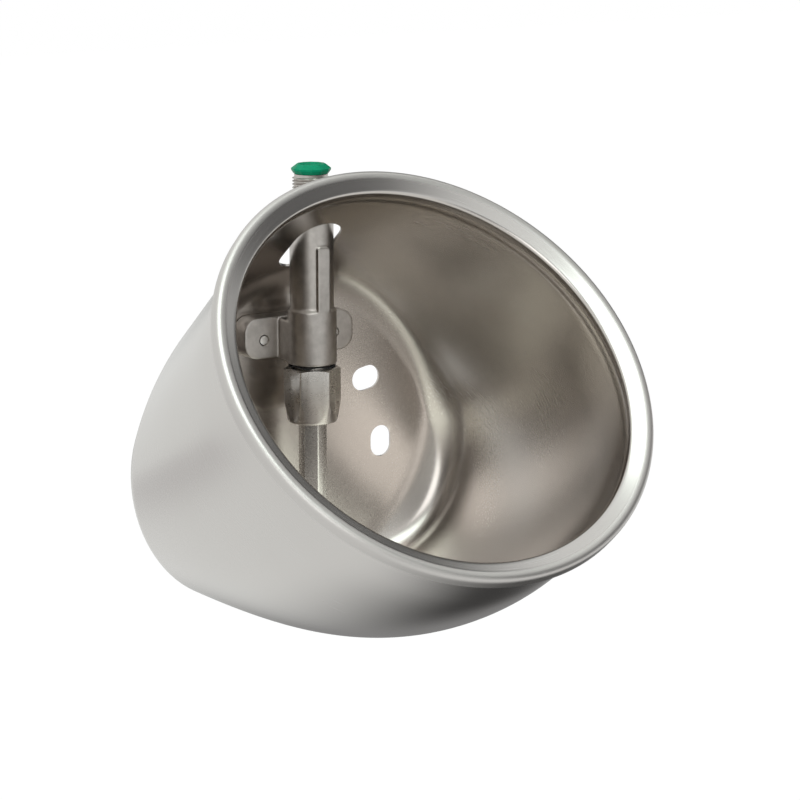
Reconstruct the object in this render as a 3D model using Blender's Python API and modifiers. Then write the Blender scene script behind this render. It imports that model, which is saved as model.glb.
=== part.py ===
"""Livestock drinking bowl: a pressed stainless bowl on a wall, with a tube valve inside it.

The origin is the middle of the flat back, on the wall. The wall is the plane Y = 0 and the
bowl opens towards -Y and upwards. The animal pushes the hexagonal tube: its head rocks on its
edge in the union nut and lifts the plunger off the seat against the return spring.
All lengths are in metres and all angles in degrees.
"""

import math

import bmesh
import bpy
from mathutils import Matrix, Vector

# Clearances
SEAT_GAP = 0.0003
CUT_OVERRUN = 0.002

# Bowl: mouth, wall, floor and back
CROWN_FORWARD = 0.0715
CROWN_RISE = 0.1479
MOUTH_TILT = 41.5
MOUTH_RADIUS = 0.1255
SHEET = 0.0015
LIP_CROWN = 0.0055
LIP_OUTER_BEND = 0.0030
LIP_INNER_REACH = 0.0065
LIP_INNER_DEPTH = 0.0105
LIP_SKIRT = 0.0026
NECK_STEP = 0.0005
WALL_SWELL = 0.0034
WALL_SWELL_DEPTH = 0.0450
CROWN_FLARE_SHARE = 0.070
FLOOR_DROP = 0.1011
FLOOR_RADIUS = 0.1728
FLOOR_CORNER = 0.0470
BACK_FLAT_RADIUS = 0.0860
BACK_CONE_ANGLE = 25.7
BACK_CONE_ROUND = 0.0270
BACK_CORNER = 0.0114
BACK_CORNER_TOP = 0.0095
BACK_CORNER_START = -0.0200
BACK_CORNER_REACH = 0.0800
LOFT_START_DEPTH = 0.0120
WALL_STEPS = 56
LOFT_RINGS = 17
LOFT_SAMPLES = 90
LOFT_TURN_LENGTH = 0.0700
LIP_OUTER_STEPS = 3
LIP_INNER_STEPS = 4

# Bowl: mounting slots, on each side of the middle
SLOT_WIDTH = 0.0136
SLOT_LENGTH = 0.0182
UPPER_SLOT_SIDE = 0.0518
UPPER_SLOT_RISE = 0.0185
UPPER_SLOT_TURN = 78.0
LOWER_SLOT_SIDE = 0.0619
LOWER_SLOT_DROP = 0.0197
SLOT_END_STEPS = 8

# Bowl: opening in the upper wall, round the valve
VALVE_HOLE_CLEARANCE = 0.0020
VALVE_HOLE_SIDE = -0.0015
VALVE_HOLE_SHIFT = 0.0060
VALVE_HOLE_LENGTH = 0.0470
VALVE_HOLE_STEPS = 10

# Valve body
VALVE_FORWARD = 0.0281
BODY_TOP = 0.1436
BODY_FOOT = 0.0376
THREAD_RADIUS = 0.01048
THREAD_LENGTH = 0.0155
THREAD_CHAMFER = 0.0010
THREAD_NECK_RADIUS = 0.0096
THREAD_NECK = 0.0015
UPPER_RADIUS = 0.01225
LEDGE = 0.0012
LOWER_RADIUS = 0.0137
LOWER_LENGTH = 0.0303
LOWER_EDGE = 0.0008
SPIGOT_RADIUS = 0.0109
SPIGOT_LENGTH = 0.0200
ROUND_STEPS = 32
INNER_STEPS = 18

# Valve body: passages from the inlet down to the spigot
INLET_MOUTH_RADIUS = 0.0080
INLET_MOUTH_DEPTH = 0.0126
INLET_RADIUS = 0.0062
INLET_DEPTH_SHARE = 0.658
THROAT_RADIUS = 0.0045
CHAMBER_RADIUS = 0.0070
CHAMBER_LENGTH = 0.0230
CHAMBER_FLOOR = 0.0235
SPIGOT_BORE_RADIUS = 0.0092

# Valve body: lugs, web and flat strip
LUG_REACH = 0.0352
LUG_TOP = 0.0232
LUG_FOOT = 0.0023
LUG_CORNER = 0.0085
LUG_FRONT = 0.0135
LUG_EDGE = 0.0012
WEB_SIDE_SET = 0.0001
WEB_FRONT = 0.0010
WEB_BACK = 0.0080
WEB_TOP_DROP = 0.0008
WEB_INSET = 0.0014
STRIP_WIDTH = 0.0078
STRIP_SET = 0.0002
STRIP_TOP_DROP = 0.0224
STRIP_FOOT = 0.0010
CORNER_STEPS = 5

# Fixing screws, from behind through the back into the lugs
SCREW_SIDE = 0.0228
SCREW_RISE = 0.0127
SCREW_RADIUS = 0.0025
SCREW_HEAD_RADIUS = 0.0046
SCREW_HEAD_HEIGHT = 0.0025
SCREW_HEAD_SET = 0.0002
SCREW_END_SET = 0.0004
SCREW_SOCKET_WIDTH = 0.0030
SCREW_SOCKET_DEPTH = 0.0014
SCREW_STEPS = 16

# Union nut and its gasket
NUT_FLATS = 0.0278
NUT_HEIGHT = 0.0313
NUT_STRAIGHT = 0.0185
NUT_CHAMFER = 0.0007
NUT_CHAMFER_SHARE = 0.55
NUT_TAPER = 0.0021
NUT_FOOT_ROUND = 0.0015
NUT_FLOOR = 0.0051
NUT_BORE_CLEARANCE = 0.0005
NUT_HOLE_RADIUS = 0.0090
NUT_HOLE_FLARE = 0.0012
NUT_TURN = 4.5
GASKET_HEIGHT = 0.0014
GASKET_INSET = 0.0008

# Drinking tube, its head and slip ring
TUBE_FLATS = 0.0140
TUBE_BORE_RADIUS = 0.0052
TUBE_REACH = 0.0800
TUBE_TURN = -8.7
HEAD_RADIUS = 0.0105
HEAD_HEIGHT = 0.0030
HEAD_SPIGOT_LENGTH = 0.0080
HEAD_WALL = 0.0012
HEAD_HOLE_RADIUS = 0.0013
HEAD_HOLE_RING = 0.0028
HEAD_HOLES = 4
SLIP_RING_HEIGHT = 0.0012

# Seat, its seal ring and lock ring
SEAT_HOLE_RADIUS = 0.0030
SEAT_BOSS_RADIUS = 0.0060
SEAT_BOSS_RISE = 0.0023
SEAT_BODY_HEIGHT = 0.0104
SEAT_RING_SECTION = 0.0008
SEAT_RING_SQUEEZE = 0.0003
SEAT_RING_DEPTH = 0.0055
LOCK_RING_HEIGHT = 0.0034
LOCK_RING_BORE = 0.0060
LOCK_SLOT_WIDTH = 0.0016
LOCK_SLOT_DEPTH = 0.0012

# Plunger, seal, spring and spring washer
STEM_RADIUS = 0.0015
STEM_COLLAR_RADIUS = 0.0024
STEM_COLLAR_HEIGHT = 0.0015
STEM_TAIL = 0.0062
SEAL_RADIUS = 0.0055
SEAL_HEIGHT = 0.0020
HOLDER_RADIUS = 0.0058
HOLDER_HEIGHT = 0.0022
SPRING_RADIUS = 0.0045
SPRING_WIRE = 0.0009
SPRING_TURNS = 6
SPRING_TURN_POINTS = 12
SPRING_WASHER_HEIGHT = 0.0008

# Inlet: nozzle, strainer and its washer
NOZZLE_HEIGHT = 0.0070
NOZZLE_HOLE_RADIUS = 0.00175
NOZZLE_CONE = 0.0025
CAGE_COLLAR_HEIGHT = 0.0015
CAGE_RADIUS = 0.0057
CAGE_WALL = 0.0009
CAGE_LENGTH_SHARE = 0.770
CAGE_FLOOR = 0.0012
WINDOW_WIDTH = 0.0032
WINDOW_MARGIN = 0.0035
WINDOW_PAIRS = 3
SCREEN_WALL = 0.0004
STRAINER_WASHER_HEIGHT = 0.0012

# Thread cap
CAP_RADIUS = 0.0110
CAP_FOOT_RADIUS = 0.0097
CAP_TOP_RADIUS = 0.0080
CAP_HEIGHT = 0.0052
CAP_WIDEST = 0.0024
CAP_EDGE = 0.0010
CAP_FLATS = 12
CAP_PLUG_LENGTH = 0.0085
CAP_PLUG_WALL = 0.0012
CAP_DISH = 0.0010

MERGE = 0.00001

# Levels above the origin that follow from the sizes
THREAD_END = BODY_TOP - THREAD_LENGTH
UPPER_TOP = THREAD_END - THREAD_NECK
UPPER_FOOT = BODY_FOOT + LOWER_LENGTH + LEDGE
SPIGOT_END = BODY_FOOT - SPIGOT_LENGTH
GASKET_FOOT = BODY_FOOT - SEAT_GAP - GASKET_HEIGHT
NUT_TOP = GASKET_FOOT - SEAT_GAP
NUT_FOOT = NUT_TOP - NUT_HEIGHT
NUT_FLOOR_TOP = NUT_FOOT + NUT_FLOOR
SLIP_RING_FOOT = NUT_FLOOR_TOP + SEAT_GAP
HEAD_FOOT = SLIP_RING_FOOT + SLIP_RING_HEIGHT + SEAT_GAP
HEAD_TOP = HEAD_FOOT + HEAD_HEIGHT
CHAMBER_FOOT = SPIGOT_END + CHAMBER_FLOOR
CHAMBER_TOP = CHAMBER_FOOT + CHAMBER_LENGTH
INLET_MOUTH_FLOOR = BODY_TOP - INLET_MOUTH_DEPTH
INLET_FLOOR = INLET_MOUTH_FLOOR - (INLET_MOUTH_FLOOR - CHAMBER_TOP) * INLET_DEPTH_SHARE
NOZZLE_FOOT = INLET_FLOOR + SEAT_GAP
NOZZLE_TOP = NOZZLE_FOOT + NOZZLE_HEIGHT
CAGE_COLLAR_FOOT = INLET_MOUTH_FLOOR + SEAT_GAP
CAGE_LENGTH = (CAGE_COLLAR_FOOT - NOZZLE_TOP) * CAGE_LENGTH_SHARE
SEAT_SHOULDER = CHAMBER_FOOT - SEAT_GAP
SEAT_TOP = SEAT_SHOULDER + SEAT_BOSS_RISE
SEAT_FOOT = SEAT_SHOULDER - SEAT_BODY_HEIGHT
SEAL_FOOT = SEAT_TOP + SEAT_GAP
HOLDER_FOOT = SEAL_FOOT + SEAL_HEIGHT + SEAT_GAP
HOLDER_TOP = HOLDER_FOOT + HOLDER_HEIGHT
WASHER_FOOT = CHAMBER_TOP - SEAT_GAP - SPRING_WASHER_HEIGHT
SPRING_FOOT = HOLDER_TOP + SEAT_GAP
SPRING_TOP = WASHER_FOOT - SEAT_GAP
SEAT_RADIUS = SPIGOT_BORE_RADIUS - SEAT_GAP
NUT_BORE_RADIUS = SPIGOT_RADIUS + NUT_BORE_CLEARANCE
STRIP_FACE = LOWER_RADIUS - STRIP_SET
WEB_REACH = LOWER_RADIUS - WEB_SIDE_SET

# Directions of the mouth, which hangs from the crown of its rim
TILT = math.radians(MOUTH_TILT)
MOUTH_OUT = Vector((0, -math.cos(TILT), math.sin(TILT)))
MOUTH_UP = Vector((0, math.sin(TILT), math.cos(TILT)))
MOUTH_SIDE = Vector((1, 0, 0))
MOUTH_CENTRE = Vector((0, -CROWN_FORWARD, CROWN_RISE)) - MOUTH_UP * MOUTH_RADIUS
VALVE_AXIS = Vector((0, -VALVE_FORWARD, 0))

# Under the lip the sheet's outer face narrows to a neck, and the wall steps out from it
LIP_MIDDLE = MOUTH_RADIUS - SHEET - LIP_OUTER_BEND
NECK_RADIUS = LIP_MIDDLE - LIP_INNER_REACH
WALL_RADIUS = NECK_RADIUS + NECK_STEP


def clear_scene():
    for old in list(bpy.data.objects):
        bpy.data.objects.remove(old)


def new_collection(name):
    collection = bpy.data.collections.new(name)
    bpy.context.scene.collection.children.link(collection)
    return collection


def new_material(name, colour, metallic, roughness):
    material = bpy.data.materials.new(name)
    material.use_nodes = True
    shader = material.node_tree.nodes["Principled BSDF"]
    shader.inputs["Base Color"].default_value = (*colour, 1)
    shader.inputs["Metallic"].default_value = metallic
    shader.inputs["Roughness"].default_value = roughness
    return material


def add_part(name, mesh, material, place=None):
    part = bpy.data.objects.new(name, mesh)
    part.location = VALVE_AXIS if place is None else place
    mesh.materials.append(material)
    parts.objects.link(part)
    return part


def add_cutter(name, mesh, place=None):
    cutter = bpy.data.objects.new(name, mesh)
    cutter.location = VALVE_AXIS if place is None else place
    cutter.hide_render = True
    cutter.display_type = "WIRE"
    cutters.objects.link(cutter)
    return cutter


def boolean(part, other, operation):
    modifier = part.modifiers.new(operation.title() + " " + other.name, "BOOLEAN")
    modifier.operation = operation
    modifier.solver = "EXACT"
    modifier.object = other
    return modifier


def shade(part, angle=30.0):
    part.data.shade_smooth()
    part.data.set_sharp_from_angle(angle=math.radians(angle))


def profile_mesh(name, points, closed):
    """An outline in the XZ plane, as (radius, height) pairs."""
    mesh = bpy.data.meshes.new(name)
    form = bmesh.new()
    corners = [form.verts.new((radius, 0, height)) for radius, height in points]
    for first, second in zip(corners, corners[1:]):
        form.edges.new((first, second))
    if closed:
        form.edges.new((corners[-1], corners[0]))
    form.to_mesh(mesh)
    form.free()
    return mesh


def turn(obj, steps):
    screw = obj.modifiers.new("Turn", "SCREW")
    screw.axis = "Z"
    screw.angle = math.tau
    screw.steps = steps
    screw.render_steps = steps
    screw.use_merge_vertices = True
    screw.merge_threshold = MERGE
    screw.use_smooth_shade = True
    return screw


def turned_part(name, points, material, steps=ROUND_STEPS, closed=True, place=None):
    """A turned piece: a closed outline is a ring, an open one runs from axis to axis."""
    part = add_part(name, profile_mesh(name, points, closed), material, place)
    turn(part, steps)
    return part


def turned_cutter(name, points, steps=ROUND_STEPS, closed=False, place=None):
    cutter = add_cutter(name, profile_mesh(name, points, closed), place)
    turn(cutter, steps)
    return cutter


def ring_outline(outer, inner, top, foot):
    return [(outer, top), (outer, foot), (inner, foot), (inner, top)]


def pin_outline(radius, top, foot):
    return [(0, top), (radius, top), (radius, foot), (0, foot)]


def flat_outline_mesh(name, points, thickness):
    """A closed flat outline, as (x, y) pairs, made solid by a filled curve with an extrude."""
    curve = bpy.data.curves.new(name, "CURVE")
    curve.dimensions = "2D"
    curve.fill_mode = "BOTH"
    curve.extrude = thickness / 2
    spline = curve.splines.new("POLY")
    spline.points.add(len(points) - 1)
    for point, (x, y) in zip(spline.points, points):
        point.co = (x, y, 0, 1)
    spline.use_cyclic_u = True
    holder = bpy.data.objects.new(name, curve)
    bpy.context.scene.collection.objects.link(holder)
    seen = bpy.context.evaluated_depsgraph_get()
    mesh = bpy.data.meshes.new_from_object(holder.evaluated_get(seen))
    bpy.data.objects.remove(holder)
    form = bmesh.new()
    form.from_mesh(mesh)
    bmesh.ops.remove_doubles(form, verts=form.verts, dist=MERGE)
    bmesh.ops.recalc_face_normals(form, faces=form.faces)
    form.to_mesh(mesh)
    form.free()
    return mesh


def rounded_rectangle(left, right, foot, top, radius, steps):
    """Corners run anticlockwise from the lower right."""
    centres = [
        (right - radius, foot + radius, -90),
        (right - radius, top - radius, 0),
        (left + radius, top - radius, 90),
        (left + radius, foot + radius, 180),
    ]
    points = []
    for x, y, start in centres:
        for step in range(steps + 1):
            angle = math.radians(start + 90 * step / steps)
            points.append((x + radius * math.cos(angle), y + radius * math.sin(angle)))
    return points


def rounded_slot(width, length, steps):
    """A slot outline along Y, with round ends."""
    half = width / 2
    reach = length / 2 - half
    points = []
    for centre, start in ((reach, 0), (-reach, 180)):
        for step in range(steps + 1):
            angle = math.radians(start + 180 * step / steps)
            points.append((half * math.cos(angle), centre + half * math.sin(angle)))
    return points


def hexagon_mesh(name, flats, top, foot, turn_angle):
    mesh = bpy.data.meshes.new(name)
    form = bmesh.new()
    radius = flats / 2 / math.cos(math.radians(30))
    height = top - foot
    place = Matrix.Translation((0, 0, (top + foot) / 2)) @ Matrix.Rotation(math.radians(turn_angle), 4, "Z")
    bmesh.ops.create_cone(
        form, cap_ends=True, segments=6, radius1=radius, radius2=radius, depth=height, matrix=place
    )
    form.to_mesh(mesh)
    form.free()
    return mesh


def box_mesh(name, low, high):
    mesh = bpy.data.meshes.new(name)
    form = bmesh.new()
    low = Vector(low)
    high = Vector(high)
    place = Matrix.Translation((low + high) / 2) @ Matrix.Diagonal((*(high - low), 1))
    bmesh.ops.create_cube(form, size=1, matrix=place)
    form.to_mesh(mesh)
    form.free()
    return mesh


def rounded_meet(first, second, radius):
    """Two walls, each a distance that is negative inside, meeting in a rounded corner."""
    one = max(first + radius, 0)
    two = max(second + radius, 0)
    return min(-radius, max(first, second)) + math.hypot(one, two)


def back_depth(from_middle):
    """How far the back's face falls away from the wall, and its slope, outside its flat."""
    cone = math.radians(BACK_CONE_ANGLE)
    beyond = max(from_middle - BACK_FLAT_RADIUS, 0)
    bend = BACK_CONE_ROUND * math.sin(cone)
    if beyond < bend:
        slope = math.asin(beyond / BACK_CONE_ROUND)
        return BACK_CONE_ROUND * (1 - math.cos(slope)), slope
    return BACK_CONE_ROUND * (1 - math.cos(cone)) + (beyond - bend) * math.tan(cone), cone


def wall_radius(depth, upward_share):
    """The wall swells a little below the lip and stands out more towards its crown."""
    inward = max(depth, 0)
    swell = WALL_SWELL * math.sin(math.pi / 2 * min(inward / WALL_SWELL_DEPTH, 1))
    return WALL_RADIUS + swell + CROWN_FLARE_SHARE * inward * max(upward_share, 0) ** 4


def outside_bowl(point):
    """Negative inside the bowl's outer form and positive outside it."""
    away = point - MOUTH_CENTRE
    depth = -away.dot(MOUTH_OUT)
    radius = (away + depth * MOUTH_OUT).length
    upward_share = away.dot(MOUTH_UP) / radius if radius > MERGE else 0
    wall = radius - wall_radius(depth, upward_share)
    floor_middle = FLOOR_RADIUS - FLOOR_DROP
    floor = math.hypot(point.x, min(point.z - floor_middle, 0)) - FLOOR_RADIUS
    fall, slope = back_depth(math.hypot(point.x, point.z))
    back = (point.y + fall) * math.cos(slope)
    climb = min(max((point.z - BACK_CORNER_START) / BACK_CORNER_REACH, 0), 1)
    ease = climb * climb * (3 - 2 * climb)
    corner = BACK_CORNER + (BACK_CORNER_TOP - BACK_CORNER) * ease
    return rounded_meet(rounded_meet(wall, floor, FLOOR_CORNER), back, corner)


def bowl_point(focus, direction):
    """Where a line from the focus leaves the bowl's outer form."""
    near = 0
    far = 2 * MOUTH_RADIUS
    while far - near > MERGE / 100:
        middle = (near + far) / 2
        if outside_bowl(focus + direction * middle) < 0:
            near = middle
        else:
            far = middle
    return focus + direction * near


def lip_profile():
    """The sheet's lower face from the skirt's edge over a tight outer bend and the crown to the neck."""
    crown = LIP_CROWN - SHEET
    points = [(LIP_MIDDLE + LIP_OUTER_BEND, -LIP_SKIRT)]
    for step in range(LIP_OUTER_STEPS):
        angle = math.pi / 2 * step / LIP_OUTER_STEPS
        height = crown - LIP_OUTER_BEND * (1 - math.sin(angle))
        points.append((LIP_MIDDLE + LIP_OUTER_BEND * math.cos(angle), height))
    for step in range(LIP_INNER_STEPS + 1):
        angle = math.pi / 2 * (1 + step / LIP_INNER_STEPS)
        height = crown - LIP_INNER_DEPTH * (1 - math.sin(angle))
        points.append((LIP_MIDDLE + LIP_INNER_REACH * math.cos(angle), height))
    return points


def bowl_rib(focus, spoke):
    """Places down one rib of the loft, closer together where the sheet turns more."""
    line = []
    for sample in range(LOFT_SAMPLES + 1):
        dip = math.pi / 2 * sample / LOFT_SAMPLES
        line.append(bowl_point(focus, spoke * math.cos(dip) - MOUTH_OUT * math.sin(dip)))
    steps = [after - before for before, after in zip(line, line[1:])]
    travelled = [0]
    for index, step in enumerate(steps):
        turned = steps[index - 1].angle(step) if index else 0
        travelled.append(travelled[-1] + step.length + turned * LOFT_TURN_LENGTH)
    places = []
    passed = 0
    for ring in range(LOFT_RINGS):
        wanted = travelled[-1] * ring / LOFT_RINGS
        while travelled[passed + 1] < wanted:
            passed += 1
        along = (wanted - travelled[passed]) / (travelled[passed + 1] - travelled[passed])
        places.append(line[passed].lerp(line[passed + 1], along))
    return places


def bowl_mesh():
    """The bowl's outer face, lofted in rings from the lip to the corner of back and floor."""
    mesh = bpy.data.meshes.new("bowl")
    form = bmesh.new()
    focus = MOUTH_CENTRE - MOUTH_OUT * LOFT_START_DEPTH
    around = [math.tau * step / WALL_STEPS for step in range(WALL_STEPS)]
    spokes = [math.cos(a) * MOUTH_SIDE + math.sin(a) * MOUTH_UP for a in around]
    rings = []
    for radius, height in lip_profile():
        rings.append([MOUTH_CENTRE + spoke * radius + MOUTH_OUT * height for spoke in spokes])
    ribs = [bowl_rib(focus, spoke) for spoke in spokes]
    rings.extend(zip(*ribs))
    corners = [[form.verts.new(point) for point in ring] for ring in rings]
    for upper, lower in zip(corners, corners[1:]):
        for step in range(WALL_STEPS):
            beside = (step + 1) % WALL_STEPS
            form.faces.new((upper[step], lower[step], lower[beside], upper[beside]))
    deepest = form.verts.new(bowl_point(focus, -MOUTH_OUT))
    for step in range(WALL_STEPS):
        form.faces.new((corners[-1][step], deepest, corners[-1][(step + 1) % WALL_STEPS]))
    form.to_mesh(mesh)
    form.free()
    return mesh


def make_slot_cutter(name, side, rise, turn_angle):
    length = 2 * (SHEET + CUT_OVERRUN)
    mesh = flat_outline_mesh(name, rounded_slot(SLOT_WIDTH, SLOT_LENGTH, SLOT_END_STEPS), length)
    cutter = add_cutter(name, mesh, Vector((side, 0, rise)))
    cutter.rotation_euler = (math.pi / 2, math.radians(turn_angle), 0)
    return cutter


def make_valve_hole_cutter():
    """A long round-ended opening, square to the upper wall, that the valve passes through."""
    width = 2 * (UPPER_RADIUS + VALVE_HOLE_CLEARANCE)
    outline = rounded_slot(width, VALVE_HOLE_LENGTH, VALVE_HOLE_STEPS)
    mesh = flat_outline_mesh("valve_hole_cutter", outline, UPPER_RADIUS)
    top = MOUTH_CENTRE + MOUTH_UP * WALL_RADIUS
    depth = (-VALVE_FORWARD - top.y) / -MOUTH_OUT.y
    middle = top - MOUTH_OUT * depth + MOUTH_UP * (wall_radius(depth, 1) - WALL_RADIUS)
    place = middle + MOUTH_OUT * VALVE_HOLE_SHIFT + MOUTH_SIDE * VALVE_HOLE_SIDE
    cutter = add_cutter("valve_hole_cutter", mesh, place)
    frame = Matrix((MOUTH_SIDE, -MOUTH_OUT, MOUTH_UP)).transposed()
    cutter.rotation_euler = frame.to_euler()
    return cutter


def make_bowl(material):
    bowl = add_part("bowl", bowl_mesh(), material, Vector((0, 0, 0)))
    shade(bowl)
    solid = bowl.modifiers.new("Sheet", "SOLIDIFY")
    solid.thickness = SHEET
    solid.offset = -1
    solid.use_even_offset = True
    for side, mark in ((1, "right"), (-1, "left")):
        upper = make_slot_cutter(
            "upper_slot_cutter_" + mark, side * UPPER_SLOT_SIDE, UPPER_SLOT_RISE, side * UPPER_SLOT_TURN
        )
        boolean(bowl, upper, "DIFFERENCE")
        lower = make_slot_cutter("lower_slot_cutter_" + mark, side * LOWER_SLOT_SIDE, -LOWER_SLOT_DROP, 0)
        boolean(bowl, lower, "DIFFERENCE")
        screw_hole = make_screw_cutter("back_hole_cutter_" + mark, side)
        boolean(bowl, screw_hole, "DIFFERENCE")
    boolean(bowl, make_valve_hole_cutter(), "DIFFERENCE")
    return bowl


def screw_place(side):
    return Vector((side * SCREW_SIDE, 0, BODY_FOOT + SCREW_RISE))


def screw_outline(clearance, head_top, end):
    """Along the screw, with the head at the top and the wall at height zero."""
    head = SCREW_HEAD_RADIUS + clearance
    shank = SCREW_RADIUS + clearance
    cone_foot = -SCREW_HEAD_SET - SCREW_HEAD_HEIGHT
    rim = -SCREW_HEAD_SET - SEAT_GAP
    return [(0, head_top), (head, head_top), (head, rim), (shank, cone_foot), (shank, end), (0, end)]


def make_screw_cutter(name, side):
    outline = screw_outline(SEAT_GAP, CUT_OVERRUN, -VALVE_FORWARD)
    cutter = turned_cutter(name, outline, SCREW_STEPS, place=screw_place(side))
    cutter.rotation_euler = (-math.pi / 2, 0, 0)
    return cutter


def make_fixing_screw(name, side, material):
    """A countersunk screw, whose end shows in the tapped hole of its lug."""
    end = -(VALVE_FORWARD - LUG_FRONT - SCREW_END_SET)
    outline = screw_outline(0, -SCREW_HEAD_SET, end)
    screw = turned_part(name, outline, material, SCREW_STEPS, closed=False, place=screw_place(side))
    screw.rotation_euler = (-math.pi / 2, 0, 0)
    socket_top = -SCREW_HEAD_SET + CUT_OVERRUN
    socket_foot = -SCREW_HEAD_SET - SCREW_SOCKET_DEPTH
    mesh = hexagon_mesh(name + "_socket", SCREW_SOCKET_WIDTH, socket_top, socket_foot, 0)
    socket = add_cutter(name + "_socket_cutter", mesh, screw_place(side))
    socket.rotation_euler = screw.rotation_euler
    boolean(screw, socket, "DIFFERENCE")
    return screw


def body_outline():
    return [
        (0, BODY_TOP),
        (THREAD_RADIUS - THREAD_CHAMFER, BODY_TOP),
        (THREAD_RADIUS, BODY_TOP - THREAD_CHAMFER),
        (THREAD_RADIUS, THREAD_END),
        (THREAD_NECK_RADIUS, THREAD_END),
        (THREAD_NECK_RADIUS, UPPER_TOP),
        (UPPER_RADIUS - THREAD_CHAMFER, UPPER_TOP),
        (UPPER_RADIUS, UPPER_TOP - THREAD_CHAMFER),
        (UPPER_RADIUS, UPPER_FOOT),
        (LOWER_RADIUS, UPPER_FOOT - LEDGE),
        (LOWER_RADIUS, BODY_FOOT + LOWER_EDGE),
        (LOWER_RADIUS - LOWER_EDGE, BODY_FOOT),
        (SPIGOT_RADIUS, BODY_FOOT),
        (SPIGOT_RADIUS, SPIGOT_END + THREAD_CHAMFER),
        (SPIGOT_RADIUS - THREAD_CHAMFER, SPIGOT_END),
        (0, SPIGOT_END),
    ]


def passage_outline():
    """The water's way through the body, cut from the inlet to the spigot's end."""
    return [
        (0, BODY_TOP + CUT_OVERRUN),
        (INLET_MOUTH_RADIUS, BODY_TOP + CUT_OVERRUN),
        (INLET_MOUTH_RADIUS, INLET_MOUTH_FLOOR),
        (INLET_RADIUS, INLET_MOUTH_FLOOR),
        (INLET_RADIUS, INLET_FLOOR),
        (THROAT_RADIUS, INLET_FLOOR),
        (THROAT_RADIUS, CHAMBER_TOP),
        (CHAMBER_RADIUS, CHAMBER_TOP),
        (CHAMBER_RADIUS, CHAMBER_FOOT),
        (SPIGOT_BORE_RADIUS, CHAMBER_FOOT),
        (SPIGOT_BORE_RADIUS, SPIGOT_END - CUT_OVERRUN),
        (0, SPIGOT_END - CUT_OVERRUN),
    ]


def upright_plate(name, outline, front, back):
    """A flat outline in X and Z, with its faces at the given Y places."""
    plate = add_cutter(name, flat_outline_mesh(name, outline, back - front))
    plate.location = Vector((0, (front + back) / 2, 0))
    plate.rotation_euler = (math.pi / 2, 0, 0)
    return plate


def make_valve_body(material):
    body = turned_part("valve_body", body_outline(), material, closed=False)
    lug_front = -VALVE_FORWARD + LUG_FRONT
    wall_side = -SHEET - SEAT_GAP
    lug_outline = rounded_rectangle(
        -LUG_REACH, LUG_REACH, BODY_FOOT + LUG_FOOT, BODY_FOOT + LUG_FOOT + LUG_TOP, LUG_CORNER, CORNER_STEPS
    )
    lugs = upright_plate("lugs", lug_outline, lug_front, wall_side)
    edge = lugs.modifiers.new("Rounded edge", "BEVEL")
    edge.width = LUG_EDGE
    edge.segments = 2
    edge.limit_method = "ANGLE"
    edge.angle_limit = math.radians(60)
    boolean(body, lugs, "UNION")
    web_outline = rounded_rectangle(
        -WEB_REACH,
        WEB_REACH,
        BODY_FOOT + WEB_INSET,
        BODY_FOOT + LUG_FOOT + LUG_TOP - WEB_TOP_DROP,
        WEB_INSET,
        2,
    )
    web = upright_plate("web", web_outline, -VALVE_FORWARD + WEB_FRONT, -WEB_BACK)
    boolean(body, web, "UNION")
    strip_front = -VALVE_FORWARD - STRIP_FACE
    strip_outline = rounded_rectangle(
        -STRIP_WIDTH / 2,
        STRIP_WIDTH / 2,
        UPPER_FOOT - LEDGE - STRIP_FOOT,
        UPPER_TOP - STRIP_TOP_DROP,
        WEB_INSET,
        2,
    )
    strip = upright_plate("strip", strip_outline, strip_front, -VALVE_FORWARD)
    boolean(body, strip, "UNION")
    boolean(body, turned_cutter("passage_cutter", passage_outline()), "DIFFERENCE")
    for side, mark in ((1, "right"), (-1, "left")):
        boolean(body, make_screw_cutter("lug_hole_cutter_" + mark, side), "DIFFERENCE")
    return body


def nut_envelope():
    """The turned form that trims the hexagon: a chamfer above, a taper and a round foot below."""
    face = NUT_FLATS / 2
    corner = face / math.cos(math.radians(30))
    rim = corner + NUT_CHAMFER
    foot_radius = corner - NUT_TAPER
    points = [
        (0, NUT_TOP),
        (face - NUT_CHAMFER, NUT_TOP),
        (rim, NUT_TOP - (rim - face + NUT_CHAMFER) * NUT_CHAMFER_SHARE),
        (rim, NUT_TOP - NUT_STRAIGHT),
    ]
    for step in range(CORNER_STEPS + 1):
        angle = math.pi / 2 * step / CORNER_STEPS
        radius = foot_radius - NUT_FOOT_ROUND + NUT_FOOT_ROUND * math.cos(angle)
        points.append((radius, NUT_FOOT + NUT_FOOT_ROUND - NUT_FOOT_ROUND * math.sin(angle)))
    points.append((0, NUT_FOOT))
    return points


def make_union_nut(material):
    top = NUT_TOP + CUT_OVERRUN
    foot = NUT_FOOT - CUT_OVERRUN
    mesh = hexagon_mesh("union_nut", NUT_FLATS, top, foot, NUT_TURN)
    nut = add_part("union_nut", mesh, material)
    boolean(nut, turned_cutter("nut_envelope", nut_envelope()), "INTERSECT")
    bore = [
        (0, NUT_TOP + CUT_OVERRUN),
        (NUT_BORE_RADIUS, NUT_TOP + CUT_OVERRUN),
        (NUT_BORE_RADIUS, NUT_FLOOR_TOP),
        (NUT_HOLE_RADIUS, NUT_FLOOR_TOP),
        (NUT_HOLE_RADIUS + NUT_HOLE_FLARE, NUT_FOOT),
        (NUT_HOLE_RADIUS + NUT_HOLE_FLARE, NUT_FOOT - CUT_OVERRUN),
        (0, NUT_FOOT - CUT_OVERRUN),
    ]
    boolean(nut, turned_cutter("nut_bore_cutter", bore), "DIFFERENCE")
    return nut


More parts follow.
